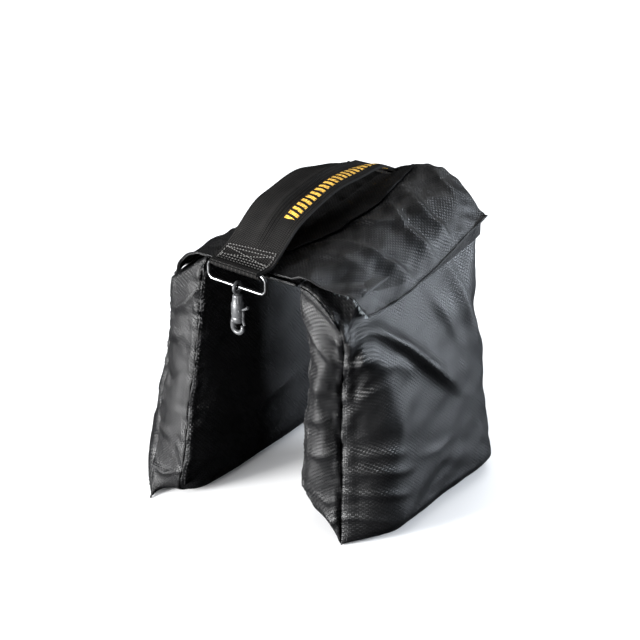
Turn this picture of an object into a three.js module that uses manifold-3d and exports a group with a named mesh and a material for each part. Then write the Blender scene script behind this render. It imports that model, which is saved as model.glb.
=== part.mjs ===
// A saddle sandbag: two sand-filled legs joined over the top by a saddle, with a webbing
// handle, a closure flap on each leg, and a swivel snap hook hanging on a wire ring.
// Millimetres, +Z up, +X to the bag's right, -Y to its front, where the ring hangs.

import * as THREE from 'three';
import { mergeVertices } from 'three/addons/utils/BufferGeometryUtils.js';
import Module from 'manifold-3d';

const wasm = await Module();
wasm.setup();

// ---- driving dimensions ----

const GAP = 0.35;              // clearance between touching pieces
const FABRIC = 1.6;            // doubled nylon
const TAPE = 1.5;              // hook and loop tape

const LEG_DEPTH = 176;         // front seam to rear seam
const LEG_HEIGHT = 205;        // floor to saddle
const GUSSET_WIDTH = 39;       // the boxing strip between a leg's two panels
const LEG_SPACING = 86;        // between the inner seams of the two legs
const SEAM_TOP = 196;          // where the panels end and the closure begins
const CORNER_DROP = 19;        // how far the panels' top corners are gathered down
const SEAM_CORNER = 26;        // radius of the seam at the leg's bottom corners
const OUTER_BULGE = 25;        // how far the sand pushes the outer panel out
const INNER_BULGE = 11;        // and the inner panel
const GUSSET_PUFF = 5;         // and the boxing strip

// The left leg stands kicked out and forward, and the right leg hangs straight.
const LEAN = { right: [0, 0], left: [9, -30] };

const REAR_RISE = 20;          // how much higher the closure bunches up at the rear
const FOLD_X = 62;             // the flap folds open along this line
const FLAP_DROP = [16, 8];     // how far the flap laps down the outer face, front and rear
const FLAP_LAP = 10;           // how far it stands off the outer seam there

const TAPE_LENGTH = 152;
const TAPE_HEIGHT = 12;

const WEB_WIDTH = 50;
const WEB_THICK = 2.4;
const WEB_CENTRE = -6;         // the handle sits a little left of the middle
const HANDLE_TOP = 245;
const HANDLE_FRONT = -72;
const HANDLE_REAR = 84;

const RING_WIRE = 1.3;         // wire radius
const RING_WIDTH = 53;         // between wire centres
const RING_HEIGHT = 14;
const RING_CORNER = 5;
const RING_Y = -96.5;
const RING_BAR_Z = 206.8;      // upper bar of the ring
const LOOP_WIDTH = 48;         // webbing folded round the upper bar

const EYE_RADIUS = 3.9;        // to the middle of the eye's wire
const EYE_WIRE = 1.2;
const SNAP_THICK = 6.4;
const SNAP_LENGTH = 33;
const ARM = 3.2;               // width of the hook's arm
const SLOT_THICK = 4.2;        // slot in the body for the gate and its spring
const GATE_THICK = 2.2;
const PIN_RADIUS = 0.8;
const SPRING_RADIUS = 1.5;
const SPRING_WIRE = 0.2;
const SPRING_TURNS = 1.25;

const HALF_DEPTH = LEG_DEPTH / 2;
const INNER_X = LEG_SPACING / 2;
const OUTER_X = INNER_X + GUSSET_WIDTH;
const SADDLE_TOP = LEG_HEIGHT - 1;

const COLOURS = {
  nylon: 0x15161a, panel: 0x0c0c0e, webbing: 0x101012, tape: 0x1b1c1f, liner: 0xc9ccd0,
  sand: 0xb79a6b, tie: 0x202020, wire: 0xb9bcc0, snap: 0x3a3d42, spring: 0xc4c7ca,
};

// ---- geometry helpers ----

const bag = new THREE.Group();

function addPiece(name, geometry, colour, roughness = 0.8, metalness = 0) {
  const material = new THREE.MeshStandardMaterial({ color: COLOURS[colour], roughness, metalness });
  const mesh = new THREE.Mesh(geometry, material);
  mesh.name = name;
  bag.add(mesh);
}

// A closed geometry from points, each listed once, and triangles between them.
function closedGeometry(points, triangles) {
  const geometry = new THREE.BufferGeometry();
  geometry.setAttribute('position', new THREE.Float32BufferAttribute(points.flat(), 3));
  geometry.setIndex(triangles.flat());
  return geometry;
}

// A thin solid between two surfaces, each a function of u and v from 0 to 1.
function sheetSolid(face, back, columns, rows) {
  const points = [];
  for (const surface of [face, back]) {
    for (let j = 0; j <= rows; j += 1) {
      for (let i = 0; i <= columns; i += 1) {
        points.push(surface(i / columns, j / rows));
      }
    }
  }
  const layer = (columns + 1) * (rows + 1);
  const at = (i, j, side) => side * layer + j * (columns + 1) + i;
  const triangles = [];
  const quad = (a, b, c, d) => triangles.push([a, b, c], [a, c, d]);
  for (let j = 0; j < rows; j += 1) {
    for (let i = 0; i < columns; i += 1) {
      quad(at(i, j, 0), at(i + 1, j, 0), at(i + 1, j + 1, 0), at(i, j + 1, 0));
      quad(at(i, j, 1), at(i, j + 1, 1), at(i + 1, j + 1, 1), at(i + 1, j, 1));
    }
  }
  for (let i = 0; i < columns; i += 1) {
    quad(at(i, 0, 1), at(i + 1, 0, 1), at(i + 1, 0, 0), at(i, 0, 0));
    quad(at(i, rows, 0), at(i + 1, rows, 0), at(i + 1, rows, 1), at(i, rows, 1));
  }
  for (let j = 0; j < rows; j += 1) {
    quad(at(0, j, 0), at(0, j + 1, 0), at(0, j + 1, 1), at(0, j, 1));
    quad(at(columns, j, 1), at(columns, j + 1, 1), at(columns, j + 1, 0), at(columns, j, 0));
  }
  return closedGeometry(points, triangles);
}

// A closed solid through rings of points, capped at both ends.
function loftSolid(rings) {
  const count = rings[0].length;
  const points = rings.flat();
  const triangles = [];
  for (let k = 0; k < rings.length - 1; k += 1) {
    for (let i = 0; i < count; i += 1) {
      const next = (i + 1) % count;
      const a = k * count + i;
      const b = k * count + next;
      triangles.push([a, b, b + count], [a, b + count, a + count]);
    }
  }
  for (const [ring, flip] of [[0, true], [rings.length - 1, false]]) {
    const centre = points.length;
    points.push(averagePoint(rings[ring]));
    for (let i = 0; i < count; i += 1) {
      const a = ring * count + i;
      const b = ring * count + ((i + 1) % count);
      triangles.push(flip ? [centre, b, a] : [centre, a, b]);
    }
  }
  return closedGeometry(points, triangles);
}

function averagePoint(points) {
  const sum = [0, 0, 0];
  for (const point of points) {
    for (let k = 0; k < 3; k += 1) {
      sum[k] += point[k] / points.length;
    }
  }
  return sum;
}

// A rod of round section along a curve.
function rod(curve, radius, steps, sides) {
  const section = new THREE.Shape();
  section.absarc(0, 0, radius, 0, 2 * Math.PI);
  return new THREE.ExtrudeGeometry(section, {
    steps, curveSegments: sides, extrudePath: curve, bevelEnabled: false,
  });
}

function mapPoints(geometry, place) {
  const position = geometry.getAttribute('position');
  for (let i = 0; i < position.count; i += 1) {
    position.setXYZ(i, ...place(position.getX(i), position.getY(i), position.getZ(i)));
  }
  return geometry;
}

// Turns every triangle over, as a mirrored solid needs.
function turnOver(geometry) {
  const index = geometry.getIndex();
  for (let i = 0; i < index.count; i += 3) {
    const second = index.getX(i + 1);
    index.setX(i + 1, index.getX(i + 2));
    index.setX(i + 2, second);
  }
  return geometry;
}

// ---- the legs, built as the right one and mirrored for the left ----

function placeLeg(geometry, side) {
  const [outward, forward] = LEAN[side];
  const sign = side === 'left' ? -1 : 1;
  const indexed = geometry.getIndex() ? geometry : mergeVertices(stripped(geometry));
  mapPoints(indexed, (x, y, z) => {
    const down = Math.max(0, 1 - z / LEG_HEIGHT);
    return [sign * (x + outward * down), y + forward * down, z];
  });
  return sign < 0 ? turnOver(indexed) : indexed;
}

function stripped(geometry) {
  geometry.deleteAttribute('normal');
  geometry.deleteAttribute('uv');
  return geometry;
}

// Height of the seam round a leg's bottom corners.
function seamHeight(y) {
  const past = Math.abs(y) - (HALF_DEPTH - SEAM_CORNER);
  if (past <= 0) {
    return 0.6;
  }
  return SEAM_CORNER - Math.sqrt(Math.max(0, SEAM_CORNER ** 2 - past ** 2)) + 0.6;
}

// How much the top layers have risen at a distance from the front.
function rise(y) {
  return REAR_RISE * (y + HALF_DEPTH) / LEG_DEPTH;
}

// Height of a panel's top edge: it takes a share of the rise, and is gathered at the corners.
function panelTop(y, riseShare) {
  const corner = THREE.MathUtils.smoothstep(Math.abs(y), HALF_DEPTH - 24, HALF_DEPTH);
  return SEAM_TOP + riseShare * rise(y) - CORNER_DROP * corner;
}

// How far the sand pushes a panel out: most near the bottom, nothing at the seams.
function bulge(y, z, most) {
  const along = 1 - Math.abs(y / HALF_DEPTH) ** 3.5;
  const up = Math.cos((Math.PI / 2) * Math.min(1, z / SEAM_TOP) ** 1.2);
  const under = Math.sqrt(1 - Math.max(0, 1 - z / 20) ** 2);
  return most * along * up * under;
}

function legPanel(seamX, most, riseShare) {
  const outwards = Math.sign(most);
  const surface = (offset) => (u, v) => {
    const y = -HALF_DEPTH * Math.cos(Math.PI * u);
    const z = THREE.MathUtils.lerp(seamHeight(y), panelTop(y, riseShare), v);
    return [seamX + bulge(y, z, most) - outwards * offset, y, z];
  };
  const [face, back] = outwards > 0
    ? [surface(0), surface(FABRIC)]
    : [surface(FABRIC), surface(0)];
  return sheetSolid(face, back, 14, 12);
}

// The boxing strip: down the front, along the bottom and up the rear.
function legGusset() {
  const path = new THREE.CurvePath();
  const edge = HALF_DEPTH - SEAM_CORNER;
  const top = SEAM_TOP - CORNER_DROP;
  const corners = [[-HALF_DEPTH, top], [-HALF_DEPTH, SEAM_CORNER], [-HALF_DEPTH, 0],
    [-edge, 0], [edge, 0], [HALF_DEPTH, 0], [HALF_DEPTH, SEAM_CORNER], [HALF_DEPTH, top + REAR_RISE / 2]]
    .map(([y, z]) => new THREE.Vector2(y, z));
  path.add(new THREE.LineCurve(corners[0], corners[1]));
  path.add(new THREE.QuadraticBezierCurve(corners[1], corners[2], corners[3]));
  path.add(new THREE.LineCurve(corners[3], corners[4]));
  path.add(new THREE.QuadraticBezierCurve(corners[4], corners[5], corners[6]));
  path.add(new THREE.LineCurve(corners[6], corners[7]));
  const surface = (offset) => (u, v) => {
    const at = path.getPointAt(u);
    const along = path.getTangentAt(u);
    const inset = FABRIC + GAP;
    const x = THREE.MathUtils.lerp(INNER_X + inset, OUTER_X - inset, v);
    const puff = GUSSET_PUFF * Math.sin(Math.PI * v) * Math.min(1, at.y / 60) * Math.abs(along.y);
    return [x, at.x + along.y * (offset + puff), at.y - along.x * (offset + puff)];
  };
  return sheetSolid(surface(0), surface(-FABRIC), 30, 4);
}

// Height of the gathered closure over a leg.
function closureHeight(x, y) {
  const outward = (x - INNER_X) / GUSSET_WIDTH;
  return LEG_HEIGHT + 1 + rise(y) * (1 - 0.5 * outward ** 2) - 4 * outward ** 2;
}

function legShoulder() {
  const from = INNER_X - 0.2;
  const to = FOLD_X - 0.8;
  const surface = (offset) => (u, v) => {
    const x = THREE.MathUtils.lerp(from, to, u);
    const y = THREE.MathUtils.lerp(4 - HALF_DEPTH, HALF_DEPTH - 2, v);
    return [x, y, closureHeight(x, y) - offset];
  };
  return sheetSolid(surface(0), surface(FABRIC), 5, 12);
}

// The flap: over the shoulder, round the edge and down over the hook and loop tapes.
function legFlap() {
  const surface = (offset) => (u, v) => {
    const y = THREE.MathUtils.lerp(6 - HALF_DEPTH + 12 * u, HALF_DEPTH - 2, v);
    const turn = (Math.PI / 2) * THREE.MathUtils.smoothstep(u, 0.2, 0.8);
    const lapX = OUTER_X + FLAP_LAP - offset * Math.sin(turn);
    const x = u < 0.5 ? THREE.MathUtils.lerp(FOLD_X, lapX, Math.sin(Math.PI * u)) : lapX;
    const top = closureHeight(Math.min(x, OUTER_X), y) - offset * Math.cos(turn);
    const drop = THREE.MathUtils.lerp(...FLAP_DROP, v) * (Math.max(0, u - 0.3) / 0.7) ** 1.3;
    return [x, y, top - drop];
  };
  return sheetSolid(surface(0), surface(FABRIC), 12, 12);
}

// A tape lying on the outer panel, from one distance off it to another.
function outerTape(lowZ, height, length, from, to) {
  const surface = (offset) => (u, v) => {
    const y = THREE.MathUtils.lerp(-length / 2, length / 2, u) + 4;
    const z = lowZ + height * v;
    return [OUTER_X + bulge(y, z, OUTER_BULGE) + 4 * GAP + offset, y, z];
  };
  return sheetSolid(surface(to), surface(from), 12, 2);
}

// A ring of points round a soft rectangle.
function softRing(x, y, z, halfX, halfY, count = 20) {
  const ring = [];
  for (let i = 0; i < count; i += 1) {
    const angle = (2 * Math.PI * i) / count;
    const c = Math.cos(angle);
    const s = Math.sin(angle);
    ring.push([x + halfX * Math.sign(c) * Math.abs(c) ** SOFT_CORNER,
      y + halfY * Math.sign(s) * Math.abs(s) ** SOFT_CORNER, z]);
  }
  return ring;
}

const SOFT_CORNER = 0.55;      // 1 would be an ellipse, and 0 a sharp rectangle
const LINER_LEVELS = [3.2, 8, 16, 40, 80, 115, 146, 158, 174, 190];
const LINER_WALL = 1;
const NECK = 6;
const LEG_MIDDLE = (INNER_X + OUTER_X) / 2;

// The liner's middle and half sizes at a height: it fills the leg low down, swelling with
// the panels, and is gathered into a neck at the top.
function linerShape(z) {
  const gather = THREE.MathUtils.smoothstep(z, 146, 174);
  const low = Math.sqrt(1 - Math.max(0, 1 - (z - 3) / 16) ** 2 * 0.75);
  const swell = bulge(0, z, 1);
  return {
    x: LEG_MIDDLE + (1 - gather) * swell * (OUTER_BULGE - INNER_BULGE) / 2,
    halfX: THREE.MathUtils.lerp((17.5 + 12 * swell) * low, NECK, gather),
    halfY: THREE.MathUtils.lerp(78 * low, NECK, gather),
  };
}

// The liner is a bag with a wall and an open neck.
function linerBag() {
  const ring = (z, wall, raised) => {
    const { x, halfX, halfY } = linerShape(z);
    return softRing(x, 0, z + raised, halfX - wall, halfY - wall);
  };
  const outside = LINER_LEVELS.map((z) => ring(z, 0, 0));
  const inside = LINER_LEVELS.map((z, level) => ring(z, LINER_WALL, level === 0 ? LINER_WALL : 0));
  return loftSolid([...outside, ...inside.reverse()]);
}

// The sand, as one settled solid. The pairs are a height and the clearance to the liner.
function sandFill() {
  const levels = [[6, 8], [8, 2.4], [16, 2], [40, 2], [80, 2], [115, 2], [138, 4.5], [146, 11]];
  return loftSolid(levels.map(([z, inset]) => {
    const { x, halfX, halfY } = linerShape(z);
    return softRing(x, 0, z, halfX - inset, halfY - inset);
  }));
}

function linerTie() {
  const tie = new THREE.TorusGeometry(NECK + 3, 1.3, 8, 20);
  tie.translate(LEG_MIDDLE, 0, 181);
  return tie;
}

function addLeg(side) {
  const tapeLow = SEAM_TOP - TAPE_HEIGHT;
  const add = (name, geometry, colour, roughness) => {
    addPiece(`${side}_${name}`, placeLeg(geometry, side), colour, roughness);
  };
  add('outer_panel', legPanel(OUTER_X, OUTER_BULGE, 0.5), 'nylon');
  add('inner_panel', legPanel(INNER_X, -INNER_BULGE, 0.9), 'nylon');
  add('gusset', legGusset(), 'nylon');
  add('shoulder_panel', legShoulder(), 'nylon');
  add('loop_strip', outerTape(tapeLow, TAPE_HEIGHT, TAPE_LENGTH, 0, TAPE), 'tape');
  add('liner_bag', linerBag(), 'liner', 0.5);
  add('sand_fill', sandFill(), 'sand', 0.95);
  add('liner_tie', linerTie(), 'tie', 0.6);
  add('flap', legFlap(), 'nylon');
  const hookFrom = TAPE + GAP;
  const hookTo = hookFrom + TAPE;
  add('hook_strip', outerTape(tapeLow + 3, 9, TAPE_LENGTH - 8, hookFrom, hookTo), 'tape');
}

// ---- the saddle and its centre panel ----

function layer(halfX, frontY, rearY, height, thick) {
  const surface = (offset) => (u, v) => {
    const x = THREE.MathUtils.lerp(-halfX, halfX, u);
    const y = THREE.MathUtils.lerp(frontY, rearY, v);
    return [x, y, height(x, y) - offset];
  };
  return sheetSolid(surface(0), surface(thick), 8, 10);
}

function addSaddle() {
  const low = (x, y) => SADDLE_TOP + rise(y);
  const high = (x, y) => low(x, y) + GAP + FABRIC;
  const edge = INNER_X - 2;
  addPiece('saddle_panel', layer(edge, -HALF_DEPTH, HALF_DEPTH, low, 2), 'nylon');
  addPiece('centre_panel', layer(edge, 4 - HALF_DEPTH, HALF_DEPTH - 6, high, FABRIC), 'panel');
}

// ---- the handle, its sewn ends and the loop that holds the ring ----

const WEB_LOW = SADDLE_TOP + FABRIC + 2 * GAP;

function handleHeight(y) {
  const along = (y - HANDLE_FRONT) / (HANDLE_REAR - HANDLE_FRONT);
  const base = WEB_LOW + rise(y);
  return base + (HANDLE_TOP - base) * Math.sin(Math.PI * along) ** 0.75;
}

// Webbing along a path of [y, z] points, with a slight crown across its width.
function webbing(path, width) {
  const curve = new THREE.CatmullRomCurve3(path.map(([y, z]) => new THREE.Vector3(0, y, z)));
  const steps = path.length * 3;
  const surface = (offset) => (u, v) => {
    const at = curve.getPointAt(v);
    const along = curve.getTangentAt(v);
    const x = WEB_CENTRE + (u - 0.5) * width;
    return [x, at.y - along.z * offset, at.z + along.y * offset];
  };
  return sheetSolid(surface(WEB_THICK), surface(0), 2, steps);
}

function handleArch() {
  const path = [];
  for (let k = 1; k <= 11; k += 1) {
    const y = THREE.MathUtils.lerp(HANDLE_FRONT, HANDLE_REAR - 6, k / 12);
    path.push([y, handleHeight(y)]);
  }
  return webbing(path, WEB_WIDTH);
}

function addHandle() {
  addPiece('handle_webbing', handleArch(), 'webbing');
  const tab = (places) => webbing(places.map((y) => [y, WEB_LOW + rise(y) + GAP]), WEB_WIDTH);
  addPiece('front_handle_tab', tab([-84, -78, HANDLE_FRONT + 3]), 'webbing');
  addPiece('rear_handle_tab', tab([HANDLE_REAR - 8, HANDLE_REAR - 3, HALF_DEPTH - 2]), 'webbing');
}

// The strap's end, folded round the ring's upper bar and back under the saddle.
function ringLoop() {
  const inner = RING_WIRE + 1;
  const turn = new THREE.Path();
  turn.moveTo(-85.6, RING_BAR_Z + inner);
  turn.lineTo(RING_Y, RING_BAR_Z + inner);
  turn.absarc(RING_Y, RING_BAR_Z, inner, Math.PI / 2, (3 * Math.PI) / 2, false);
  turn.lineTo(-HALF_DEPTH - 1, RING_BAR_Z - inner);
  const surface = (offset) => (u, v) => {
    const at = turn.getPointAt(v);
    const along = turn.getTangentAt(v);
    const x = WEB_CENTRE + (0.5 - u) * LOOP_WIDTH;
    return [x, at.x + along.y * offset, at.y - along.x * offset];
  };
  return sheetSolid(surface(WEB_THICK), surface(0), 2, 20);
}

// ---- the ring and the swivel snap hook ----

// A rounded rectangle of wire, hanging in the XZ plane from its upper bar.
function frontRing() {
  const half = RING_WIDTH / 2;
  const r = RING_CORNER;
  const outline = new THREE.Shape();
  outline.moveTo(-half + r, 0);
  outline.lineTo(half - r, 0);
  outline.absarc(half - r, -r, r, Math.PI / 2, 0, true);
  outline.lineTo(half, -RING_HEIGHT + r);
  outline.absarc(half - r, -RING_HEIGHT + r, r, 0, -Math.PI / 2, true);
  outline.lineTo(-half + r, -RING_HEIGHT);
  outline.absarc(-half + r, -RING_HEIGHT + r, r, -Math.PI / 2, -Math.PI, true);
  outline.lineTo(-half, -r);
  outline.absarc(-half + r, -r, r, Math.PI, Math.PI / 2, true);
  const points = outline.getPoints(6).map(
    (p) => new THREE.Vector3(WEB_CENTRE + p.x, RING_Y, RING_BAR_Z + p.y),
  );
  points.pop();
  const curve = new THREE.CatmullRomCurve3(points, true, 'centripetal');
  return new THREE.TubeGeometry(curve, 72, RING_WIRE, 8, true);
}

function toSolid(geometry) {
  const merged = mergeVertices(stripped(geometry.clone()), 1e-4);
  return new wasm.Manifold(new wasm.Mesh({
    numProp: 3,
    vertProperties: new Float32Array(merged.getAttribute('position').array),
    triVerts: new Uint32Array(merged.getIndex().array),
  }));
}

function fromSolid(solid) {
  const mesh = solid.getMesh();
  const geometry = new THREE.BufferGeometry();
  geometry.setAttribute('position', new THREE.BufferAttribute(new Float32Array(mesh.vertProperties), 3));
  geometry.setIndex(new THREE.BufferAttribute(new Uint32Array(mesh.triVerts), 1));
  return geometry;
}

const BAR_Z = RING_BAR_Z - RING_HEIGHT;
const EYE_Z = BAR_Z - (EYE_RADIUS - EYE_WIRE - RING_WIRE - GAP);
const COLLAR_Z = EYE_Z - EYE_RADIUS - 1.6;
const COLLAR_HEIGHT = 6;
const POST_RADIUS = 1.5;

// The eye is a wire circle with a headed post that turns in the snap's collar.
function snapEye() {
  const circle = new THREE.TorusGeometry(EYE_RADIUS, EYE_WIRE, 8, 24);
  circle.rotateY(Math.PI / 2);
  circle.translate(0, 0, EYE_Z);
  const low = COLLAR_Z - COLLAR_HEIGHT - 2.2;
  const high = EYE_Z - EYE_RADIUS;
  const headTop = low + 1.6;
  const outline = [[0, low], [2.6, low], [2.6, headTop], [POST_RADIUS, headTop], [POST_RADIUS, high], [0, high]];
  const post = new THREE.LatheGeometry(outline.map(([r, z]) => new THREE.Vector2(r, z)), 16);
  post.rotateX(Math.PI / 2);
  return fromSolid(toSolid(circle).add(toSolid(post)));
}

const PIVOT_X = 3.2;
const PIVOT_Z = COLLAR_Z - COLLAR_HEIGHT - 5.5;
const HOOK_Z = COLLAR_Z - SNAP_LENGTH;

const HOOK_HALF = 6.2;         // half the hook's width, and its outer bend

// A flat outline in X and Z, made thick along Y.
function plate(shape, thick, middle = 0) {
  const geometry = new THREE.ExtrudeGeometry(shape, {
    depth: thick, bevelEnabled: false, curveSegments: 10,
  });
  geometry.rotateX(Math.PI / 2);
  geometry.translate(0, middle + thick / 2, 0);
  return geometry;
}

function rodAlongY(radius, length, x, z) {
  const geometry = new THREE.CylinderGeometry(radius, radius, length, 14);
  geometry.translate(x, 0, z);
  return geometry;
}

// The hook: a collar, a long left arm and a tip that the gate closes on.
function hookOutline() {
  const half = HOOK_HALF;
  const bend = half;
  const hook = new THREE.Shape();
  hook.moveTo(-4.2, COLLAR_Z);
  hook.lineTo(4.2, COLLAR_Z);
  hook.lineTo(5.6, COLLAR_Z - COLLAR_HEIGHT);
  hook.lineTo(5.6, PIVOT_Z - 2.6);
  hook.lineTo(-half + ARM, PIVOT_Z - 2.6);
  hook.lineTo(-half + ARM, HOOK_Z + bend);
  hook.absarc(0, HOOK_Z + bend, bend - ARM, Math.PI, 2 * Math.PI, false);
  hook.lineTo(half - ARM, HOOK_Z + bend + 2);
  hook.lineTo(half, HOOK_Z + bend + 2);
  hook.absarc(0, HOOK_Z + bend, bend, 2 * Math.PI, Math.PI, true);
  hook.lineTo(-half, COLLAR_Z - COLLAR_HEIGHT);
  hook.closePath();
  return hook;
}

function boxSolid(width, depth, height, x, y, z) {
  const geometry = new THREE.BoxGeometry(width, depth, height);
  geometry.translate(x, y, z);
  return toSolid(geometry);
}

function snapBody() {
  const below = COLLAR_Z - COLLAR_HEIGHT;
  const bore = new THREE.CylinderGeometry(POST_RADIUS + GAP, POST_RADIUS + GAP, 20, 16);
  bore.rotateX(Math.PI / 2);
  bore.translate(0, 0, COLLAR_Z);
  const window = boxSolid(5.8 + 2 * GAP, 20, 3.2, -0.4, 0, below - 1.6);
  const slot = boxSolid(7, SLOT_THICK, 9, 3.2, 0, below - 7.7);
  const body = toSolid(plate(hookOutline(), SNAP_THICK))
    .subtract(toSolid(bore))
    .subtract(window)
    .subtract(slot)
    .subtract(toSolid(rodAlongY(PIN_RADIUS + 0.15, 20, PIVOT_X, PIVOT_Z)));
  return fromSolid(body);
}

const GATE_Y = (GATE_THICK - SLOT_THICK) / 2 + 0.3;

// The gate hangs from the pivot to the hook's tip, with a thumb lever at the side.
function snapGate() {
  const gate = new THREE.Shape();
  gate.moveTo(PIVOT_X - 1.7, PIVOT_Z + 1.6);
  gate.lineTo(PIVOT_X + 2, PIVOT_Z + 1.9);
  gate.lineTo(9.4, PIVOT_Z + 4.4);
  gate.lineTo(10.2, PIVOT_Z + 2.8);
  gate.lineTo(6, PIVOT_Z - 1.6);
  gate.lineTo(6, HOOK_Z + 8.6);
  gate.lineTo(3.6, HOOK_Z + 8.6);
  gate.lineTo(3.2, PIVOT_Z - 3.5);
  gate.lineTo(PIVOT_X - 1.7, PIVOT_Z - 1.6);
  gate.closePath();
  const solid = toSolid(plate(gate, GATE_THICK, GATE_Y));
  return fromSolid(solid.subtract(toSolid(rodAlongY(PIN_RADIUS + 0.15, 20, PIVOT_X, PIVOT_Z))));
}

// The gate's spring, coiled round the pin beside the gate.
class Coil extends THREE.Curve {
  getPoint(t, target = new THREE.Vector3()) {
    const angle = 2 * Math.PI * SPRING_TURNS * t;
    const y = GATE_Y + GATE_THICK / 2 + 0.5 + 0.7 * t;
    const x = PIVOT_X + SPRING_RADIUS * Math.cos(angle);
    return target.set(x, y, PIVOT_Z + SPRING_RADIUS * Math.sin(angle));
  }
}

function addRingAndSnap() {
  addPiece('front_ring', frontRing(), 'wire', 0.25, 1);
  const pieces = [
    ['snap_eye', snapEye(), 'snap'],
    ['snap_body', snapBody(), 'snap'],
    ['snap_gate', snapGate(), 'snap'],
    ['gate_pin', rodAlongY(PIN_RADIUS, SNAP_THICK + 0.4, PIVOT_X, PIVOT_Z), 'wire'],
    ['gate_spring', rod(new Coil(), SPRING_WIRE, 20, 4), 'spring'],
  ];
  for (const [name, geometry, colour] of pieces) {
    geometry.translate(WEB_CENTRE, RING_Y, 0);
    addPiece(name, geometry, colour, 0.35, 0.8);
  }
}

// ---- the whole bag, with its origin under the middle of its box ----

addLeg('right');
addLeg('left');
addSaddle();
addHandle();
addPiece('ring_loop', ringLoop(), 'webbing');
addRingAndSnap();

const box = new THREE.Box3().setFromObject(bag);
const middle = box.getCenter(new THREE.Vector3());
bag.position.set(-middle.x, -middle.y, -box.min.z);

export default bag;
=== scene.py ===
import math

import bpy
import numpy as np
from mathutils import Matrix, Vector


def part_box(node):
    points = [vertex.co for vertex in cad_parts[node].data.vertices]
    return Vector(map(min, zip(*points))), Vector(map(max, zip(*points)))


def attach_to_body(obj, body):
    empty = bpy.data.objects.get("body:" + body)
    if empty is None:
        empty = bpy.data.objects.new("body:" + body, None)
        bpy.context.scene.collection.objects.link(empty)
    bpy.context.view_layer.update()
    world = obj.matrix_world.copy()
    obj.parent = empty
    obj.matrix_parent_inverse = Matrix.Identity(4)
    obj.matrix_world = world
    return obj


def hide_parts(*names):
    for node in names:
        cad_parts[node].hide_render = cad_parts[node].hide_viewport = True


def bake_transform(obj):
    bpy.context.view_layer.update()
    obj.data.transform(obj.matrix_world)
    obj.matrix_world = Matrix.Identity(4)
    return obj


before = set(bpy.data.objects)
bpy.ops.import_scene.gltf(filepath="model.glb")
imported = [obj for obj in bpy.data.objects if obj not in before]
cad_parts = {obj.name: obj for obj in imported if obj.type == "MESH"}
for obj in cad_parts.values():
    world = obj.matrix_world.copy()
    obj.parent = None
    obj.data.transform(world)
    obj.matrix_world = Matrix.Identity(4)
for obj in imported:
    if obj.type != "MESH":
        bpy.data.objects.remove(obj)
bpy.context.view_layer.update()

MM = 0.001
SIDES = {"right": 1, "left": -1}

# ---- sizes taken from the frame, in metres ----

FABRIC = 1.6 * MM
SADDLE_LOW, SADDLE_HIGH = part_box("saddle_panel")
MIDDLE = (SADDLE_LOW.x + SADDLE_HIGH.x) / 2
FRONT = SADDLE_LOW.y
REAR = SADDLE_HIGH.y
DEPTH = REAR - FRONT
TOP = SADDLE_LOW.z + 2.6 * MM
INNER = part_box("right_inner_panel")[1].x - FABRIC - MIDDLE
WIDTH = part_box("right_outer_panel")[0].x + FABRIC - MIDDLE - INNER
REAR_RISE = SADDLE_HIGH.z - SADDLE_LOW.z - 2 * MM
WEB_LOW, WEB_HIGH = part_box("handle_webbing")
WEB_X = (WEB_LOW.x + WEB_HIGH.x) / 2
WEB_WIDTH = WEB_HIGH.x - WEB_LOW.x
RING_LOW, RING_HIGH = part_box("front_ring")


# ---- numbers and curves ----

def smooth(value, low=0.0, high=1.0):
    t = np.clip((np.asarray(value, float) - low) / (high - low), 0, 1)
    return t * t * (3 - 2 * t)


def graded(count, ease=0.5):
    """Steps from 0 to 1 that are closer together near both ends."""
    t = np.linspace(0, 1, count + 1)
    return t - ease * np.sin(2 * np.pi * t) / (2 * np.pi)


def ripples(u, v, seed, length, count=9):
    """Smooth noise between about -1 and 1: a sum of waves about one length long."""
    draw = np.random.default_rng(seed)
    total = np.zeros(np.broadcast(u, v).shape)
    for _ in range(count):
        angle = draw.uniform(0, 2 * np.pi)
        size = 2 * np.pi / (length * draw.uniform(0.7, 1.5))
        phase = draw.uniform(0, 2 * np.pi)
        total += np.sin(size * (u * math.cos(angle) + v * math.sin(angle)) + phase)
    return total / math.sqrt(count)


def fold(u, v, path, width, height, steep=1.0):
    """A ridge of cloth along a path, fading at its ends, with one side steeper than the other."""
    best = np.full(np.shape(u), 1e9)
    lift = np.zeros(np.shape(u))
    path = np.array(path, float)
    lengths = np.linalg.norm(np.diff(path, axis=0), axis=1)
    reach = lengths.sum()
    done = 0.0
    for start, end, length in zip(path[:-1], path[1:], lengths):
        along = (end - start) / length
        du, dv = u - start[0], v - start[1]
        t = np.clip(du * along[0] + dv * along[1], 0, length)
        across = (v - start[1] - t * along[1]) * along[0] - (u - start[0] - t * along[0]) * along[1]
        away = np.hypot(u - start[0] - t * along[0], v - start[1] - t * along[1])
        spread = width * np.where(across > 0, steep, 1 / steep)
        fade = np.sin(np.pi * np.clip((done + t) / reach, 0.02, 0.98)) ** 0.6
        shape = height * fade / (1 + (away / spread) ** 2) ** 1.5
        lift = np.where(away < best, shape, lift)
        best = np.minimum(best, away)
        done += length
    return lift


def curve_through(points, t):
    """A smooth curve through evenly spaced points, at t from 0 to 1."""
    points = np.array(points, float)
    last = len(points) - 1
    place = np.clip(np.asarray(t, float), 0, 1) * last
    k = np.clip(np.floor(place).astype(int), 0, last - 1)
    f = (place - k)[..., None]
    p0, p1 = points[np.maximum(k - 1, 0)], points[k]
    p2, p3 = points[k + 1], points[np.minimum(k + 2, last)]
    bend = 2 * p1 + (p2 - p0) * f + (2 * p0 - 5 * p1 + 4 * p2 - p3) * f**2
    return 0.5 * (bend + (3 * p1 - p0 - 3 * p2 + p3) * f**3)


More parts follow.
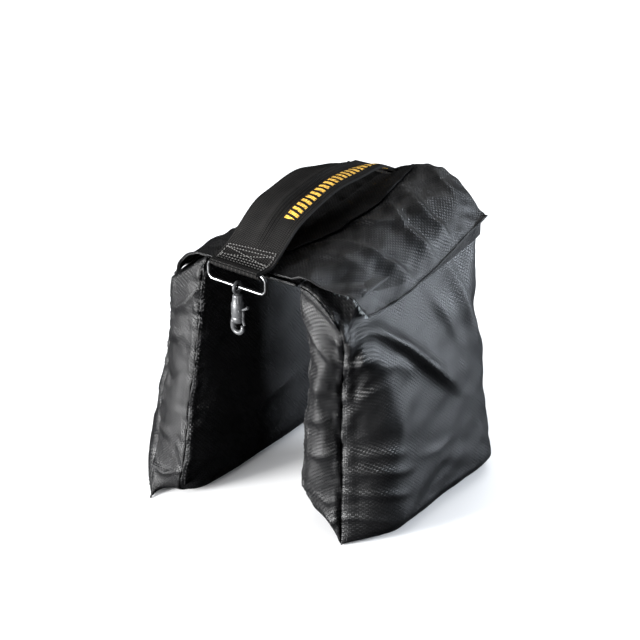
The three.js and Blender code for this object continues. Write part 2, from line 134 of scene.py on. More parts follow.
def turns(sides):
    """Evenly spaced angles once round."""
    return np.linspace(0, 2 * np.pi, sides, endpoint=False)


def distances(path):
    """How far along a path each of its points is."""
    steps = np.linalg.norm(np.diff(path, axis=0), axis=1)
    return np.concatenate([[0], np.cumsum(steps)])


# ---- mesh helpers ----

def new_piece(name, points, faces, material, uv=None):
    mesh = bpy.data.meshes.new(name)
    mesh.from_pydata(np.asarray(points).tolist(), [], [tuple(int(i) for i in f) for f in faces])
    if uv is not None:
        layer = mesh.uv_layers.new(name="UVMap")
        layer.data.foreach_set("uv", np.asarray(uv, np.float32).ravel())
    mesh.polygons.foreach_set("use_smooth", [True] * len(mesh.polygons))
    mesh.materials.append(material)
    mesh.update()
    piece = bpy.data.objects.new(name, mesh)
    bpy.context.scene.collection.objects.link(piece)
    return piece


def final_mesh(piece):
    """Applies a piece's modifiers to its mesh."""
    depsgraph = bpy.context.evaluated_depsgraph_get()
    mesh = bpy.data.meshes.new_from_object(piece.evaluated_get(depsgraph))
    piece.modifiers.clear()
    piece.data = mesh
    return piece


def grid_normals(points):
    across = np.gradient(points, axis=0)
    along = np.gradient(points, axis=1)
    normal = np.cross(across, along)
    return normal / np.maximum(np.linalg.norm(normal, axis=2, keepdims=True), 1e-12)


def sheet_piece(name, points, uv, thick, material):
    """A closed sheet of cloth or webbing: a grid of points for its face, and its back below."""
    columns, rows = points.shape[:2]
    back = points - thick * grid_normals(points)
    both = np.concatenate([points.reshape(-1, 3), back.reshape(-1, 3)])
    both_uv = np.concatenate([uv.reshape(-1, 2), uv.reshape(-1, 2)])
    layer = columns * rows
    i, j = np.meshgrid(np.arange(columns - 1), np.arange(rows - 1), indexing="ij")
    a = (i * rows + j).ravel()
    b = ((i + 1) * rows + j).ravel()
    face = np.stack([a, b, b + 1, a + 1], 1)
    under = np.stack([a + 1, b + 1, b, a], 1) + layer
    edge = list(range(rows)) + [k * rows + rows - 1 for k in range(1, columns)]
    edge += [(columns - 1) * rows + k for k in range(rows - 2, -1, -1)]
    edge += [k * rows for k in range(columns - 2, 0, -1)]
    edge = np.array(edge)
    following = np.roll(edge, -1)
    rim = np.stack([edge, following, following + layer, edge + layer], 1)
    faces = np.concatenate([face, under, rim])
    piece = new_piece(name, both, faces, material, both_uv[faces.ravel()])
    mark_sharp(piece, len(face), len(under))
    return piece


def mark_sharp(piece, face_count, under_count):
    """Keeps the rim of a sheet from being shaded into its two faces."""
    mesh = piece.data
    rim_start = face_count + under_count
    edge_faces = {}
    for polygon in mesh.polygons:
        for key in polygon.edge_keys:
            edge_faces.setdefault(key, []).append(polygon.index >= rim_start)
    sharp = [len(set(edge_faces[tuple(sorted(e.vertices))])) > 1 for e in mesh.edges]
    mesh.attributes.new("sharp_edge", "BOOLEAN", "EDGE").data.foreach_set("value", sharp)


def ring_faces(rings, sides, closed=False):
    """The faces between rings of points laid one after another, with an end at each unless closed."""
    faces = []
    for k in range(rings if closed else rings - 1):
        low, high = k * sides, (k + 1) % rings * sides
        for s in range(sides):
            t = (s + 1) % sides
            faces.append((low + s, high + s, high + t, low + t))
    if not closed:
        faces.append(tuple(range(sides)))
        faces.append(tuple((rings - 1) * sides + s for s in range(sides - 1, -1, -1)))
    return faces


def tube_piece(name, path, radius, material, sides=12, closed=False, squash=1.0, up=(0, 0, 1)):
    """A rod of round or flattened section along a path. radius may change along it."""
    path = np.array(path, float)
    count = len(path)
    radius = np.broadcast_to(radius, count)
    along = np.gradient(path, axis=0)
    if closed:
        along = np.roll(path, -1, 0) - np.roll(path, 1, 0)
    along /= np.linalg.norm(along, axis=1, keepdims=True)
    side = np.cross(along, np.array(up, float))
    weak = np.linalg.norm(side, axis=1) < 1e-3
    side[weak] = np.cross(along[weak], (1.0, 0, 0))
    side /= np.linalg.norm(side, axis=1, keepdims=True)
    top = np.cross(side, along)
    angle = turns(sides)
    ring = side[:, None] * np.cos(angle)[:, None] + squash * top[:, None] * np.sin(angle)[:, None]
    points = (path[:, None] + radius[:, None, None] * ring).reshape(-1, 3)
    length = distances(np.concatenate([path, path[:1]]))
    turn = 2 * np.pi * radius.mean() / sides
    uv = []
    for k in range(count if closed else count - 1):
        for s in range(sides):
            uv += [(s * turn, length[k]), (s * turn, length[k + 1])]
            uv += [((s + 1) * turn, length[k + 1]), ((s + 1) * turn, length[k])]
    if not closed:
        uv += [(s * turn, 0) for s in range(sides)]
        uv += [(s * turn, length[count - 1]) for s in range(sides - 1, -1, -1)]
    return new_piece(name, points, ring_faces(count, sides, closed), material, uv)


def lathe_piece(name, outline, centre, material, sides=32):
    """A turned piece about a vertical axis through centre: the outline is [radius, height] pairs."""
    outline = np.array(outline, float)
    angle = turns(sides)
    points = np.stack([
        centre[0] + outline[:, None, 0] * np.cos(angle),
        centre[1] + outline[:, None, 0] * np.sin(angle),
        centre[2] + np.broadcast_to(outline[:, None, 1], (len(outline), sides)),
    ], 2).reshape(-1, 3)
    return new_piece(name, points, ring_faces(len(outline), sides), material)


def stitch_row(name, path, normals, material, pitch=3.6 * MM, length=2.5 * MM, radius=0.34 * MM):
    """Short threads lying one after another along a path on the cloth."""
    path = np.array(path, float)
    distance = distances(path)
    centres = np.arange(pitch / 2, distance[-1], pitch)
    parts = []
    for column in range(3):
        parts.append([np.interp(centres + shift * length, distance, path[:, column])
                      for shift in (-0.5, -0.25, 0, 0.25, 0.5)])
    spine = np.array(parts).transpose(2, 1, 0)
    normal = np.stack([np.interp(centres, distance, np.array(normals)[:, k]) for k in range(3)], 1)
    normal /= np.linalg.norm(normal, axis=1, keepdims=True)
    along = spine[:, -1] - spine[:, 0]
    along /= np.maximum(np.linalg.norm(along, axis=1, keepdims=True), 1e-9)
    side = np.cross(along, normal)
    sides = 6
    angle = turns(sides)
    ring = side[:, None] * np.cos(angle)[:, None] + normal[:, None] * np.sin(angle)[:, None]
    girth = np.array([0.35, 0.9, 1, 0.9, 0.35]) * radius
    sink = np.array([-0.9, 0.1, 0.35, 0.1, -0.9]) * radius
    middle = spine + normal[:, None] * sink[:, None]
    points = middle[:, :, None] + ring[:, None] * girth[:, None, None]
    one = [face[:1] + face[:0:-1] for face in ring_faces(5, sides)]
    faces = [tuple(k * 5 * sides + v for v in face) for k in range(len(centres)) for face in one]
    return new_piece(name, points.reshape(-1, 3), faces, material)


def joined(name, pieces):
    """One piece out of several that share a material and a body."""
    points, faces, base = [], [], 0
    for piece in pieces:
        count = len(piece.data.vertices)
        co = np.zeros(count * 3)
        piece.data.vertices.foreach_get("co", co)
        points.append(co.reshape(-1, 3))
        faces += [tuple(base + v for v in p.vertices) for p in piece.data.polygons]
        base += count
    material = pieces[0].data.materials[0]
    uv = None
    if all(piece.data.uv_layers for piece in pieces):
        uv = np.concatenate([piece_uv(piece) for piece in pieces])
    for piece in pieces:
        bpy.data.objects.remove(piece)
    return new_piece(name, np.concatenate(points), faces, material, uv)


def attach(piece, body, slot, *replaced):
    """Says which body a piece rides on and the nodes that it replaces; its slot is not used."""
    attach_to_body(piece, body)
    if replaced:
        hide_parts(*replaced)


def bend_between(piece):
    """Bakes a piece's place in the world into its mesh."""
    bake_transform(piece)


def piece_uv(piece):
    uv = np.zeros(len(piece.data.loops) * 2)
    piece.data.uv_layers[0].data.foreach_get("uv", uv)
    return uv.reshape(-1, 2)


# ---- materials: every one is made of nodes ----

RIB = 2.1 * MM              # width of one rib of the webbing

class Nodes:
    """A short way to write a material's node tree."""

    def __init__(self, name, roughness, metallic=0.0, specular=0.5, sheen=0.0):
        self.material = bpy.data.materials.new(name)
        self.material.use_nodes = True
        self.tree = self.material.node_tree
        self.shader = self.tree.nodes["Principled BSDF"]
        self.shader.inputs["Roughness"].default_value = roughness
        self.shader.inputs["Metallic"].default_value = metallic
        self.shader.inputs["Specular IOR Level"].default_value = specular
        self.shader.inputs["Sheen Weight"].default_value = sheen
        self.shader.inputs["Sheen Roughness"].default_value = 0.4
        self.coordinates = self.tree.nodes.new("ShaderNodeTexCoord")

    def put(self, socket, value):
        if isinstance(value, bpy.types.NodeSocket):
            self.tree.links.new(value, socket)
        else:
            socket.default_value = value

    def math(self, operation, first, second=0.0):
        node = self.tree.nodes.new("ShaderNodeMath")
        node.operation = operation
        self.put(node.inputs[0], first)
        self.put(node.inputs[1], second)
        return node.outputs[0]

    def times(self, first, *others):
        for other in others:
            first = self.math("MULTIPLY", first, other)
        return first

    def humps(self, value, power=1.0):
        """A row of rounded humps from 0 to 1, one for each whole number."""
        hump = self.math("ABSOLUTE", self.math("SINE", self.times(value, math.pi)))
        return hump if power == 1.0 else self.math("POWER", hump, power)

    def cloth_place(self):
        """Places along the cloth's warp and weft, in metres."""
        split = self.tree.nodes.new("ShaderNodeSeparateXYZ")
        self.put(split.inputs[0], self.coordinates.outputs["UV"])
        return split.outputs[0], split.outputs[1]

    def noise(self, scale, detail=3.0, source="UV"):
        node = self.tree.nodes.new("ShaderNodeTexNoise")
        self.put(node.inputs["Vector"], self.coordinates.outputs[source])
        node.inputs["Scale"].default_value = scale
        node.inputs["Detail"].default_value = detail
        return node.outputs["Fac"]

    def stretch(self, value, low, high, new_low, new_high):
        node = self.tree.nodes.new("ShaderNodeMapRange")
        for socket, number in zip(node.inputs[:5], (value, low, high, new_low, new_high)):
            self.put(socket, number)
        return node.outputs[0]

    def mix(self, factor, first, second):
        node = self.tree.nodes.new("ShaderNodeMix")
        node.data_type = "RGBA"
        self.put(node.inputs[0], factor)
        for socket, colour in zip((node.inputs[6], node.inputs[7]), (first, second)):
            self.put(socket, colour if isinstance(colour, bpy.types.NodeSocket) else (*colour, 1))
        return node.outputs[2]

    def colour(self, value):
        self.put(self.shader.inputs["Base Color"], value)

    def roughness(self, value):
        self.put(self.shader.inputs["Roughness"], value)

    def bump(self, height, distance, strength=1.0):
        node = self.tree.nodes.new("ShaderNodeBump")
        node.inputs["Strength"].default_value = strength
        node.inputs["Distance"].default_value = distance
        self.put(node.inputs["Height"], height)
        self.put(self.shader.inputs["Normal"], node.outputs[0])


def basket_weave(nodes, thread):
    """Height of a two-by-two basket weave of a given thread width, from 0 to 1."""
    across, along = nodes.cloth_place()
    u = nodes.math("DIVIDE", across, thread)
    v = nodes.math("DIVIDE", along, thread)
    half_u, half_v = nodes.times(u, 0.5), nodes.times(v, 0.5)
    cells = nodes.math("ADD", nodes.math("FLOOR", half_u), nodes.math("FLOOR", half_v))
    warp_on_top = nodes.math("FLOORED_MODULO", cells, 2.0)
    warp = nodes.times(nodes.humps(u, 0.6), nodes.humps(half_v, 0.5))
    weft = nodes.times(nodes.humps(v, 0.6), nodes.humps(half_u, 0.5))
    weft_share = nodes.times(weft, nodes.math("SUBTRACT", 1.0, warp_on_top))
    return nodes.math("ADD", nodes.times(warp, warp_on_top), weft_share), warp_on_top


def ballistic_nylon(name, dark, light, thread=0.80 * MM, roughness=(0.29, 0.54), specular=0.42):
    nodes = Nodes(name, 0.5, specular=specular, sheen=0.0)
    weave, warp_on_top = basket_weave(nodes, thread)
    # Painted light: the colour is darker in the gaps between threads, a painted shade, and lighter where
    # the warp lies on top, a painted sheen for the warp threads' glossier reflection.
    weave_shade_and_sheen = nodes.times(weave, nodes.math("ADD", 0.4, nodes.times(warp_on_top, 0.6)))
    cloudy = nodes.stretch(nodes.noise(28.0, 4.0), 0.3, 0.7, 0.55, 1.25)
    thread_tone = nodes.stretch(nodes.noise(900.0, 1.0), 0.3, 0.7, 0.7, 1.3)
    nodes.colour(nodes.mix(nodes.times(weave_shade_and_sheen, cloudy, thread_tone), dark, light))
    worn = nodes.stretch(nodes.noise(60.0, 5.0), 0.35, 0.7, 0.0, 0.1)
    base = nodes.stretch(weave_shade_and_sheen, 0.0, 1.0, roughness[1], roughness[0])
    nodes.roughness(nodes.math("SUBTRACT", base, worn))
    nodes.bump(weave_shade_and_sheen, 0.30 * MM, 0.9)
    return nodes.material


def strap_webbing(name, dark, light, rib=RIB):
    nodes = Nodes(name, 0.72, specular=0.16, sheen=0.0)
    height, rib_shade_and_wear = webbing_height(nodes, rib)
    # Painted shade: the colour is darker between the ribs.
    nodes.colour(nodes.mix(rib_shade_and_wear, dark, light))
    nodes.bump(height, 0.4 * MM, 0.9)
    return nodes.material


def webbing_height(nodes, rib):
    """Ribs along a strap, each made of short slanting threads, with a colour tone that is darker between
    the ribs and threads, a painted shade, varied by random wear.
    """
    across, along = nodes.cloth_place()
    u = nodes.math("DIVIDE", across, rib)
    v = nodes.math("DIVIDE", along, 0.72 * rib)
    slip = nodes.times(nodes.math("FLOOR", u), 0.5)
    height = nodes.times(nodes.humps(u, 0.7), nodes.humps(nodes.math("ADD", v, slip), 0.6))
    wear = nodes.stretch(nodes.noise(70.0, 4.0), 0.3, 0.7, 0.6, 1.3)
    return height, nodes.times(height, wear)


def printed_webbing(name, dark, light, start, end, left, right):
    """The handle's webbing, with a plain row of slanted golden bars printed along its right half."""
    nodes = Nodes(name, 0.72, specular=0.16, sheen=0.0)
    height, rib_shade_and_wear = webbing_height(nodes, RIB)
    across, along = nodes.cloth_place()
    slant = nodes.times(across, 0.45)
    bars = nodes.math("FRACT", nodes.math("DIVIDE", nodes.math("ADD", along, slant), 5.2 * MM))
    in_bar = nodes.math("LESS_THAN", bars, 0.56)
    for place, low, high in ((along, start, end), (across, left, right)):
        inside = (nodes.math("GREATER_THAN", place, low), nodes.math("LESS_THAN", place, high))
        in_bar = nodes.times(in_bar, *inside)
    cracked = nodes.stretch(nodes.noise(420.0, 4.0), 0.34, 0.46, 0.0, 1.0)
    inked = nodes.times(in_bar, cracked, nodes.stretch(height, 0, 0.4, 0.35, 1))
    gold = nodes.mix(nodes.noise(250.0, 2.0), (0.62, 0.30, 0.02), (0.95, 0.60, 0.12))
    # Painted shade: the webbing around the print is darker between the ribs.
    nodes.colour(nodes.mix(inked, nodes.mix(rib_shade_and_wear, dark, light), gold))
    nodes.bump(height, 0.4 * MM, 0.9)
    return nodes.material


def fuzzy_tape(name, dark, light):
    nodes = Nodes(name, 0.95, specular=0.15, sheen=0.25)
    loops = nodes.noise(1400.0, 2.0)
    rows = nodes.noise(330.0, 2.0)
    nodes.colour(nodes.mix(nodes.stretch(loops, 0.35, 0.7, 0, 1), dark, light))
    nodes.bump(nodes.math("ADD", loops, rows), 0.9 * MM, 0.9)
    return nodes.material


def thread_fibre(name, dark, light):
    nodes = Nodes(name, 0.55, specular=0.4, sheen=0.1)
    twist = nodes.noise(2600.0, 2.0, "Object")
    nodes.colour(nodes.mix(twist, dark, light))
    nodes.bump(twist, 0.1 * MM, 0.6)
    return nodes.material


def brushed_metal(name, dark, light, rough_low, rough_high, scale=900.0, metallic=1.0):
    nodes = Nodes(name, rough_high, metallic=metallic)
    grain = nodes.noise(scale, 4.0, "Object")
    blotch = nodes.noise(160.0, 3.0, "Object")
    nodes.colour(nodes.mix(nodes.stretch(blotch, 0.35, 0.7, 0, 1), dark, light))
    nodes.roughness(nodes.stretch(grain, 0.3, 0.7, rough_low, rough_high))
    nodes.bump(nodes.math("ADD", grain, blotch), 0.05 * MM, 0.35)
    return nodes.material


def grainy(name, dark, light, scale, height, roughness, specular=0.4):
    nodes = Nodes(name, roughness, specular=specular)
    grains = nodes.noise(scale, 3.0, "Object")
    nodes.colour(nodes.mix(nodes.stretch(grains, 0.35, 0.65, 0, 1), dark, light))
    nodes.bump(grains, height, 0.7)
    return nodes.material


BLACK = (0.0012, 0.0012, 0.0015)
PRINT_START, PRINT_END = 56 * MM, 176 * MM          # along the handle
PRINT_LEFT, PRINT_RIGHT = 33.5 * MM, 44.5 * MM      # across it
NYLON = ballistic_nylon("nylon", BLACK, (0.007, 0.0072, 0.0082))
PANEL = ballistic_nylon("dark_panel", (0.0008, 0.0008, 0.0009), (0.006, 0.006, 0.0065),
                        0.7 * MM, (0.6, 0.85), 0.2)
WEB_TONES = ((0.0004, 0.0004, 0.0004), (0.011, 0.010, 0.0095))
WEBBING = strap_webbing("webbing", *WEB_TONES)
PRINTED = printed_webbing("printed_webbing", *WEB_TONES, PRINT_START, PRINT_END, PRINT_LEFT, PRINT_RIGHT)
TAPE = fuzzy_tape("hook_and_loop", (0.0005, 0.0005, 0.0006), (0.012, 0.013, 0.016))
THREAD = thread_fibre("thread", (0.004, 0.004, 0.005), (0.035, 0.035, 0.037))
PALE_THREAD = thread_fibre("pale_thread", (0.03, 0.029, 0.027), (0.15, 0.145, 0.14))
FRAY = thread_fibre("fray", (0.03, 0.035, 0.04), (0.25, 0.29, 0.31))
WIRE = brushed_metal("wire", (0.16, 0.165, 0.17), (0.34, 0.345, 0.35), 0.26, 0.42)
SNAP = brushed_metal("snap_metal", (0.035, 0.036, 0.038), (0.085, 0.087, 0.09), 0.32, 0.5, metallic=0.3)
SPRING = brushed_metal("spring_steel", (0.35, 0.36, 0.38), (0.6, 0.61, 0.63), 0.2, 0.35)
LINER = grainy("liner", (0.45, 0.47, 0.5), (0.68, 0.70, 0.73), 60.0, 0.4 * MM, 0.3, 0.6)
SAND = grainy("sand", (0.20, 0.13, 0.07), (0.62, 0.48, 0.30), 1600.0, 0.5 * MM, 0.95, 0.2)
TIE = grainy("tie", (0.006, 0.006, 0.006), (0.03, 0.03, 0.03), 500.0, 0.1 * MM, 0.5)


# ---- a leg's skin: a flat-sewn box of cloth, blown out by simulation, then settled ----

A_LINE = graded(10, 0.3)     # across the boxing strip, from the inner seam to the outer
B_LINE = graded(46, 0.5)     # from the front seam to the rear
C_LINE = graded(52, 0.4)     # from the floor to the closure
INFLATE_FRAMES = 25          # how long the cloth is blown out for
OUTER, INSIDE, GUSSET, CAP = range(4)
SHAPE = {
    "right": dict(outer_bulge=29, inner_bulge=11, lean=(0, 0), yaw=0, ear=(40.0, -0.5, 0.0),
                  tuck=27, bend=(34, 4), seed=3, top=(0, 7, 22, 2), rise=(0.9, 0.4), rear_fill=9, swell=1.7,
                  calm=0.2),
    "left": dict(outer_bulge=25, inner_bulge=9, lean=(9, -30), yaw=10, ear=(32.0, -37.5, 0.0),
                 tuck=6, bend=(30, 10), seed=8, top=(3, 24, 5, 1), rise=(0.55, 0.5), rear_fill=5, swell=1.2,
                 calm=0.6),
}


def box_skin():
    """A box of cloth as places (a, b, c) from 0 to 1 on its surface, faces, and each face's panel."""
    counts = (len(A_LINE) - 1, len(B_LINE) - 1, len(C_LINE) - 1)
    ids, places, faces, panels = {}, [], [], []

    def at(*steps):
        if steps not in ids:
            ids[steps] = len(places)
            places.append([line[k] for line, k in zip((A_LINE, B_LINE, C_LINE), steps)])
        return ids[steps]

    def wall(fixed, level, first, second, panel, turned):
        for p in range(counts[first]):
            for q in range(counts[second]):
                corners = []
                for dp, dq in ((0, 0), (1, 0), (1, 1), (0, 1)):
                    steps = [0, 0, 0]
                    steps[fixed], steps[first], steps[second] = level, p + dp, q + dq
                    corners.append(at(*steps))
                faces.append(corners[::-1] if turned else corners)
                panels.append(panel)

    wall(0, counts[0], 1, 2, OUTER, False)
    wall(0, 0, 1, 2, INSIDE, True)
    wall(1, 0, 0, 2, GUSSET, False)
    wall(1, counts[1], 0, 2, GUSSET, True)
    wall(2, 0, 0, 1, GUSSET, True)
    wall(2, counts[2], 0, 1, CAP, False)
    return np.array(places), faces, panels


def round_corner(y, z, radius):
    """Turns the square corner at y = z = 0 into a round one."""
    p, q = 1 - y / radius, 1 - z / radius
    inside = (p > 0) & (q > 0)
    far = np.maximum(np.maximum(p, q), 1e-9)
    turn = np.where(p >= q, np.pi / 4 * q / far, np.pi / 2 - np.pi / 4 * p / far)
    new_y = radius - radius * far * np.cos(turn)
    new_z = radius - radius * far * np.sin(turn)
    return np.where(inside, new_y, y), np.where(inside, new_z, z)


def sewn_box(places, side):
    """The skin as it is sewn, before it is filled."""
    a, b, c = places.T
    depth, height = DEPTH / MM, TOP / MM
    lower, drop, gather, power = SHAPE[side]["top"]
    top = height - lower - a**power * (drop + gather * (1 - smooth(b, 0, 0.16)))
    y, z = b * depth, c * top
    inner_round, outer_round = SHAPE[side]["bend"]
    radius = inner_round + (outer_round - inner_round) * a
    y, z = round_corner(y, z, radius)
    back, z = round_corner(depth - y, z, 24 - 12 * a)
    x = (a - 0.5) * WIDTH / MM
    wave = ripples(y, z, SHAPE[side]["seed"], 60.0) * 0.5
    return np.stack([x + wave * np.sin(np.pi * c), depth - back, z], 1) * MM


def inflate(name, points, faces, held):
    """Blows a skin out like a filled bag with Blender's cloth, holding some points still."""
    skin = new_piece(name, points, faces, NYLON)
    group = skin.vertex_groups.new(name="held")
    group.add([int(k) for k in np.nonzero(held)[0]], 1.0, "REPLACE")
    cloth = skin.modifiers.new("cloth", "CLOTH")
    settings = cloth.settings
    settings.quality = 5
    settings.mass = 0.1
    settings.tension_stiffness = 40
    settings.compression_stiffness = 20
    settings.shear_stiffness = 10
    settings.bending_stiffness = 0.3
    settings.air_damping = 1
    settings.use_pressure = True
    settings.uniform_pressure_force = 3
    settings.vertex_group_mass = "held"
    settings.effector_weights.gravity = 0
    cloth.collision_settings.use_collision = False
    cloth.collision_settings.use_self_collision = False
    cloth.point_cache.frame_end = INFLATE_FRAMES + 5
    for number in range(1, INFLATE_FRAMES + 1):
        bpy.context.scene.frame_set(number)
    final_mesh(skin)
    bpy.context.scene.frame_set(1)
    return skin


def finer_skin(skin, places, panels):
    """Subdivides the filled skin once, and carries its places and panels along."""
    mesh = skin.data
    attribute = mesh.attributes.new("place", "FLOAT_VECTOR", "POINT")
    attribute.data.foreach_set("vector", places.astype(np.float32).ravel())
    mesh.attributes.new("panel", "INT", "FACE").data.foreach_set("value", panels)
    modifier = skin.modifiers.new("finer", "SUBSURF")
    modifier.levels = 1
    final_mesh(skin)
    mesh = skin.data
    count = len(mesh.vertices)
    points, finer = np.zeros(count * 3), np.zeros(count * 3)
    mesh.vertices.foreach_get("co", points)
    mesh.attributes["place"].data.foreach_get("vector", finer)
    panel = np.zeros(len(mesh.polygons), int)
    mesh.attributes["panel"].data.foreach_get("value", panel)
    faces = np.array([p.vertices[:] for p in mesh.polygons])
    bpy.data.objects.remove(skin)
    return points.reshape(-1, 3), finer.reshape(-1, 3), faces, panel


def steady(side, points, places):
    """Takes some of the puckers out of the blown-out cloth, and nearly all of them at its base."""
    calm = SHAPE[side]["calm"]
    share = calm + (1 - calm) * np.exp(-places[:, 2] * TOP / (14 * MM))
    a, b, c = places.T
    plain = sewn_box(places, side)
    puff = 19.5 * MM * (1 - np.abs(2 * b - 1) ** 2.6) * (1 - np.abs(2 * c - 1) ** 2.4)
    plain[:, 0] += (2 * a - 1) * puff
    return points * (1 - share[:, None]) + plain * share[:, None]


def settle(side, mm, places):
    """The sand settles: each panel bulges low down, the base lies flat and the corners pinch."""
    shape = SHAPE[side]
    a, b, c = places.T
    x, y, z = mm.T.copy()
    depth, height = DEPTH / MM, TOP / MM
    x += WIDTH / MM / 2
    rise = c * height
    even = 19.5 * (1 - np.abs(2 * b - 1) ** 2.6) * (1 - np.abs(2 * c - 1) ** 2.4)
    along = 1 - np.abs(2 * b - 1) ** np.where(b < 0.5, 4.5, shape["rear_fill"])
    under = np.sqrt(1 - np.clip(1 - rise / 15, 0, 1) ** 2)
    up = np.cos(np.pi / 2 * np.clip(rise / 198, 0, 1) ** shape["swell"])
    full = along * under * up
    x += a * (shape["outer_bulge"] * full - even) - (1 - a) * (shape["inner_bulge"] * full - even)
    low = np.exp(-rise / 26)
    x += 9 * a * low * smooth(b, 0.02, 0.22)
    y += 5 * smooth(b, 0.75, 1) * np.exp(-rise / 90)
    x += shape["tuck"] * (1 - a) * np.clip(1 - rise / 46, 0, 1) ** 2 * np.clip(1 - b / 0.42, 0, 1) ** 1.6
    z = np.where(z > 6, z, 6 * np.exp((z - 6) / 6)) - 0.4
    z = np.maximum(z, 0)
    z += REAR_RISE / MM * b * c**2 * (shape["rise"][0] - shape["rise"][1] * a)
    down = np.clip(1 - rise / height, 0, 1)
    outward, forward = shape["lean"]
    x += outward * down
    y += forward * down + shape["yaw"] * a * (1 - b) * (0.4 + 0.6 * down)
    points = np.stack([x, y, z], 1)
    corner = np.argmin((a - 1) ** 2 + b**2 + c**2)
    away = np.sqrt(((1 - a) * WIDTH / MM) ** 2 + (b * depth) ** 2 + rise**2)
    pinch = np.exp(-away / 13)[:, None] * (np.array(shape["ear"]) - points[corner])
    return points, points + pinch


# Wrinkles on each panel: a path in millimetres, a width and a height. The outer and inner panels
# are measured from the front seam and the floor, and the front strip from its inner seam and the floor.
WRINKLES = {
    "right": {
        OUTER: [
            ([(6, 190), (30, 172), (58, 148), (92, 112), (122, 84)], 6, 5.0, 1.5),
            ([(34, 172), (66, 140), (112, 96)], 5, 3.6, 1.4),
            ([(96, 178), (110, 152), (120, 128)], 6, 2.6, 1.3),
            ([(124, 196), (134, 160), (148, 110)], 8, 3.8, 0.8),
            ([(-2, 176), (10, 170), (24, 152)], 5, 5.5, 1.2),
            ([(26, 148), (44, 143), (62, 128)], 4, 2.4, 0.7),
            ([(-2, 140), (16, 132), (30, 130)], 3.5, 2.0, 1.0),
            ([(-2, 86), (20, 76), (46, 70)], 4, 2.2, 1.3),
            ([(-2, 70), (24, 60), (52, 52)], 4, 2.6, 1.3),
            ([(-2, 50), (20, 42), (44, 34)], 4, 2.4, 1.2),
            ([(60, 60), (84, 54), (100, 56)], 4, 1.4, 1.0),
            ([(-2, 28), (14, 22), (30, 14)], 3, 2.0, 1.0),
        ],
        GUSSET: [
            ([(2, 122), (18, 128), (36, 138)], 4, 1.8, 1.3),
            ([(2, 92), (16, 100), (32, 112)], 4, 2.2, 1.3),
            ([(4, 66), (20, 72), (36, 84)], 4, 2.0, 1.3),
            ([(16, 36), (28, 34), (38, 44)], 3.5, 1.6, 1.0),
            ([(20, 22), (30, 18), (39, 26)], 3, 2.4, 1.0),
            ([(4, 176), (16, 168), (34, 164)], 5, 2.6, 1.0),
        ],
        INSIDE: [
            ([(10, 150), (50, 130), (90, 125)], 7, 2.0, 1.0),
            ([(12, 60), (60, 50), (110, 60)], 7, 2.0, 1.0),
        ],
    },
    "left": {
        OUTER: [
            ([(4, 186), (34, 160), (80, 120)], 8, 2.4, 1.3),
            ([(60, 190), (90, 150), (120, 110)], 9, 2.2, 1.3),
            ([(130, 186), (140, 140), (150, 90)], 9, 2.0, 0.8),
            ([(0, 90), (30, 80), (56, 74)], 6, 1.3, 1.3),
            ([(0, 56), (30, 48), (60, 44)], 6, 1.3, 1.2),
            ([(110, 50), (140, 44), (172, 52)], 5, 2.4, 1.2),
        ],
        GUSSET: [
            ([(14, 112), (24, 106), (33, 110)], 4, -1.8, 1.0),
            ([(4, 150), (20, 146), (36, 152)], 5, 1.6, 1.0),
            ([(2, 60), (18, 56), (36, 60)], 5, 1.4, 1.0),
            ([(2, 26), (20, 20), (39, 24)], 3.2, 3.0, 0.8),
            ([(0, 182), (16, 174), (30, 172)], 4.5, 2.6, 0.8),
        ],
        INSIDE: [
            ([(2, 142), (20, 134), (44, 136)], 6, 2.4, 1.2),
            ([(2, 98), (24, 92), (46, 98)], 6, 2.0, 1.2),
            ([(2, 40), (20, 34), (50, 30)], 5, 2.4, 1.0),
            ([(30, 60), (80, 52), (130, 60)], 8, 2.0, 1.0),
        ],
    },
}


def seam_distance(places):
    """How far each point of the skin is from the nearest sewn seam, in millimetres."""
    a, b, c = places.T
    front = np.minimum(b, 1 - b) * DEPTH / MM
    on_panel = (a < 1e-4) | (a > 1 - 1e-4)
    panel = np.minimum(front, c * TOP / MM)
    strip = np.minimum(a, 1 - a) * WIDTH / MM
    return np.where(c > 1 - 1e-4, front, np.where(on_panel, panel, strip))


def vertex_normals(points, faces):
    corners = points[faces]
    face_normal = np.cross(corners[:, 2] - corners[:, 0], corners[:, 3] - corners[:, 1])
    normal = np.zeros_like(points)
    for k in range(4):
        np.add.at(normal, faces[:, k], face_normal)
    return normal / np.maximum(np.linalg.norm(normal, axis=1, keepdims=True), 1e-12)


def wrinkle(side, points, places, faces):
    """Moves the skin along its normals: folds, gathers at the seams, and the seams themselves."""
    a, b, c = places.T
    y, z = b * DEPTH / MM, c * TOP / MM
    x = a * WIDTH / MM
    lift = np.zeros(len(points))
    for which, folds in WRINKLES[side].items():
        u = x if which == GUSSET else y
        for path, width, height, steep in folds:
            shape = fold(u, z, path, width, height, steep)
            if which == GUSSET:
                shape *= np.exp(-b * DEPTH / MM / 5)
            else:
                shape *= np.exp(-(1 - a if which == OUTER else a) * WIDTH / MM / 5)
            lift += shape * (smooth(z, 2, 26) if which != GUSSET else 1.0)
    seam = seam_distance(places)
    seed = SHAPE[side]["seed"]
    gathers = 0.8 * np.exp(-seam / 9) * ripples(y + 2 * x, z, seed + 1, 10.0)
    lift += smooth(z, 0, 30) * (gathers + 0.35 * ripples(y + x, z, seed + 2, 30.0))
    lift -= 1.3 * np.exp(-((seam / 1.2) ** 2))
    lift += 0.45 * np.exp(-(((seam - 4.5) / 2.0) ** 2))
    lift *= 1 - 0.8 * np.exp(-points[:, 2] / 2.5)
    moved = points + lift[:, None] * vertex_normals(points, faces)
    moved[:, 2] = np.maximum(moved[:, 2], 0)
    return moved


